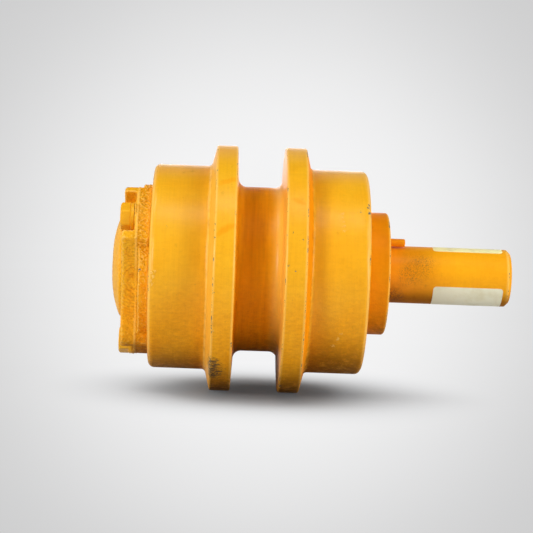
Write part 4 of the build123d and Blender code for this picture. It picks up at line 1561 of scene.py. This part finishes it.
class BuildStage(bpy.types.Operator):
    """Set the floor, backdrop, softboxes, world and camera"""

    bl_idname = "roller.build_stage"
    bl_label = "Stage"

    def execute(self, context):
        studio = context.scene.roller_studio
        scene = context.scene
        scene.view_settings.view_transform = "Standard"
        turn, place, ahead = photograph_camera()
        camera = bpy.data.objects.new("camera", bpy.data.cameras.new("camera"))
        camera.data.lens = CAMERA_LENS
        camera.data.clip_start = 0.05
        camera.data.clip_end = 50
        camera.matrix_world = Matrix.Translation(place) @ turn.to_4x4()
        scene.collection.objects.link(camera)
        scene.camera = camera

        floor = self.sweep(place, ahead)
        for name in SOFTBOXES:
            if name != "floor":
                self.softbox(name, getattr(studio, name))
        overhead = self.softbox("floor", studio.floor, FLOOR_SOFTBOX_WIDTH)
        receivers = bpy.data.collections.new("floor_receivers")
        receivers.objects.link(floor)
        overhead.light_linking.receiver_collection = receivers

        world = bpy.data.worlds.new("studio")
        scene.world = world
        world.use_nodes = True
        background = world.node_tree.nodes["Background"]
        background.inputs["Color"].default_value = (0.93, 0.96, 1.0, 1)
        background.inputs["Strength"].default_value = studio.ambient
        return {"FINISHED"}

    def softbox(self, name, watts, width=None):
        """A lamp aimed at the roller, turned from the camera's side towards the cover and raised."""
        azimuth, elevation, distance, size = SOFTBOXES[name]
        turned, raised = math.radians(azimuth), math.radians(elevation)
        level = math.cos(raised)
        towards = Vector((level * math.cos(turned), -level * math.sin(turned), math.sin(raised)))
        lamp = bpy.data.lights.new(name + "_softbox", "AREA")
        lamp.shape = "RECTANGLE"
        lamp.size = width or size
        lamp.size_y = size
        lamp.energy = watts
        lit = bpy.data.objects.new(name + "_softbox", lamp)
        lit.location = Vector((0, SHELL_MIDDLE, 0)) + towards * distance
        lit.rotation_euler = towards.to_track_quat("Z", "Y").to_euler()
        bpy.context.scene.collection.objects.link(lit)
        return lit

    def sweep(self, eye, ahead):
        """Floor and backdrop in one turned sheet, pale round the object and painted greyer further from the
        camera's line of sight.
        """
        profile = [(0.0, 0.0), (0.3, 0.0), (0.8, 0.0), (1.6, 0.0), (SWEEP_FLAT, 0.0)]
        for step in range(1, COVE_STEPS + 1):
            angle = math.pi / 2 * step / COVE_STEPS
            profile.append((SWEEP_FLAT + SWEEP_COVE * math.sin(angle), SWEEP_COVE * (1 - math.cos(angle))))
        wall = SWEEP_FLAT + SWEEP_COVE
        profile += [(wall, WALL_MIDDLE), (wall, WALL_TOP)]
        points = [
            (reach * math.cos(angle), SHELL_MIDDLE + reach * math.sin(angle), FLOOR_HEIGHT + rise)
            for reach, rise in profile
            for angle in round_angles(SWEEP_TURNS)
        ]
        mesh = bpy.data.meshes.new("sweep")
        mesh.from_pydata(points, [], ring_faces(len(profile), SWEEP_TURNS))
        weld(mesh, 1e-5, "inward")
        mesh.shade_smooth()
        floor = bpy.data.objects.new("sweep", mesh)
        bpy.context.scene.collection.objects.link(floor)
        mesh.materials.append(self.sweep_finish(eye, ahead))
        return floor

    def sweep_finish(self, eye, ahead):
        """Pale sheet that keeps the shadow near the object and throws little light back on it."""
        finish = Finish("pale_sheet")
        here = finish.node("ShaderNodeTexCoord", output="Object")
        from_eye = finish.node("ShaderNodeVectorMath", {"operation": "SUBTRACT"}, {0: here, 1: eye})
        along = finish.node("ShaderNodeVectorMath", {"operation": "NORMALIZE"}, {0: from_eye})
        dot = {"operation": "DOT_PRODUCT"}
        cosine = finish.node("ShaderNodeVectorMath", dot, {0: along, 1: ahead}, "Value")
        off_axis = finish.node("ShaderNodeMath", {"operation": "ARCCOSINE"}, {0: cosine})
        # A painted vignette: the sheet is painted darker the further it lies off the camera's line of sight.
        ring = off_axis.between(math.radians(3.5), math.radians(13.0))
        grain = finish.node("ShaderNodeTexNoise", inputs={"Vector": here, "Scale": 2.2, "Detail": 3.0})
        pale = finish.grey(0.90 - ring * 0.28 + (grain - 0.5) * 0.02, 1.005)
        near = (1 - finish.distance(here, PAPER_CENTRE).between(0.03, 0.24)) * 0.94
        glow = finish.node("ShaderNodeEmission", inputs={"Color": pale, "Strength": 1.0})
        paper = finish.mixed(1.0, pale, PAPER_COLOUR, "MULTIPLY")
        lit = finish.node("ShaderNodeBsdfDiffuse", inputs={"Color": paper})
        seen = finish.node("ShaderNodeMixShader", inputs={0: near, 1: glow, 2: lit})
        dim = finish.node("ShaderNodeBsdfDiffuse", inputs={"Color": UNSEEN_COLOUR})
        path = finish.node("ShaderNodeLightPath", output="Is Camera Ray")
        looked_at = highest([path, path.other("Is Glossy Ray"), path.other("Is Transmission Ray")])
        surface = finish.node("ShaderNodeMixShader", inputs={0: looked_at, 1: dim, 2: seen})
        finish.node("ShaderNodeOutputMaterial", inputs={"Surface": surface})
        return finish.material


class RollerPanel(bpy.types.Panel):
    """Buttons for the roller's pieces and its stage"""

    bl_idname = "ROLLER_PT_pieces"
    bl_label = "Carrier roller"
    bl_space_type = "VIEW_3D"
    bl_region_type = "UI"
    bl_category = "Carrier roller"

    def draw(self, context):
        layout = self.layout
        for group in settings_of(context):
            box = layout.box()
            for name in group.__annotations__:
                box.prop(group, name)
        for operator in OPERATORS:
            layout.operator(operator.bl_idname)


OPERATORS = (BuildShell, BuildCover, BuildFastenings, BuildCollar, BuildShaft, FinishInside, BuildStage)
GROUPS = (RollerSizes, RollerColours, StudioSettings)


def register():
    """Registers the groups, operators and panel."""
    for kind in (*GROUPS, *OPERATORS, RollerPanel):
        bpy.utils.register_class(kind)
    bpy.types.Scene.roller_sizes = PointerProperty(type=RollerSizes)
    bpy.types.Scene.roller_colours = PointerProperty(type=RollerColours)
    bpy.types.Scene.roller_studio = PointerProperty(type=StudioSettings)


def unregister():
    """Takes them away again."""
    del bpy.types.Scene.roller_studio
    del bpy.types.Scene.roller_colours
    del bpy.types.Scene.roller_sizes
    for kind in reversed((*GROUPS, *OPERATORS, RollerPanel)):
        bpy.utils.unregister_class(kind)


def main():
    """Builds everything."""
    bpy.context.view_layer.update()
    register()
    bpy.ops.roller.build_shell()
    bpy.ops.roller.build_cover()
    bpy.ops.roller.build_fastenings()
    bpy.ops.roller.build_collar()
    bpy.ops.roller.build_shaft()
    bpy.ops.roller.finish_inside()
    bpy.ops.roller.build_stage()
    bpy.context.view_layer.update()


if __name__ == "__main__":
    main()
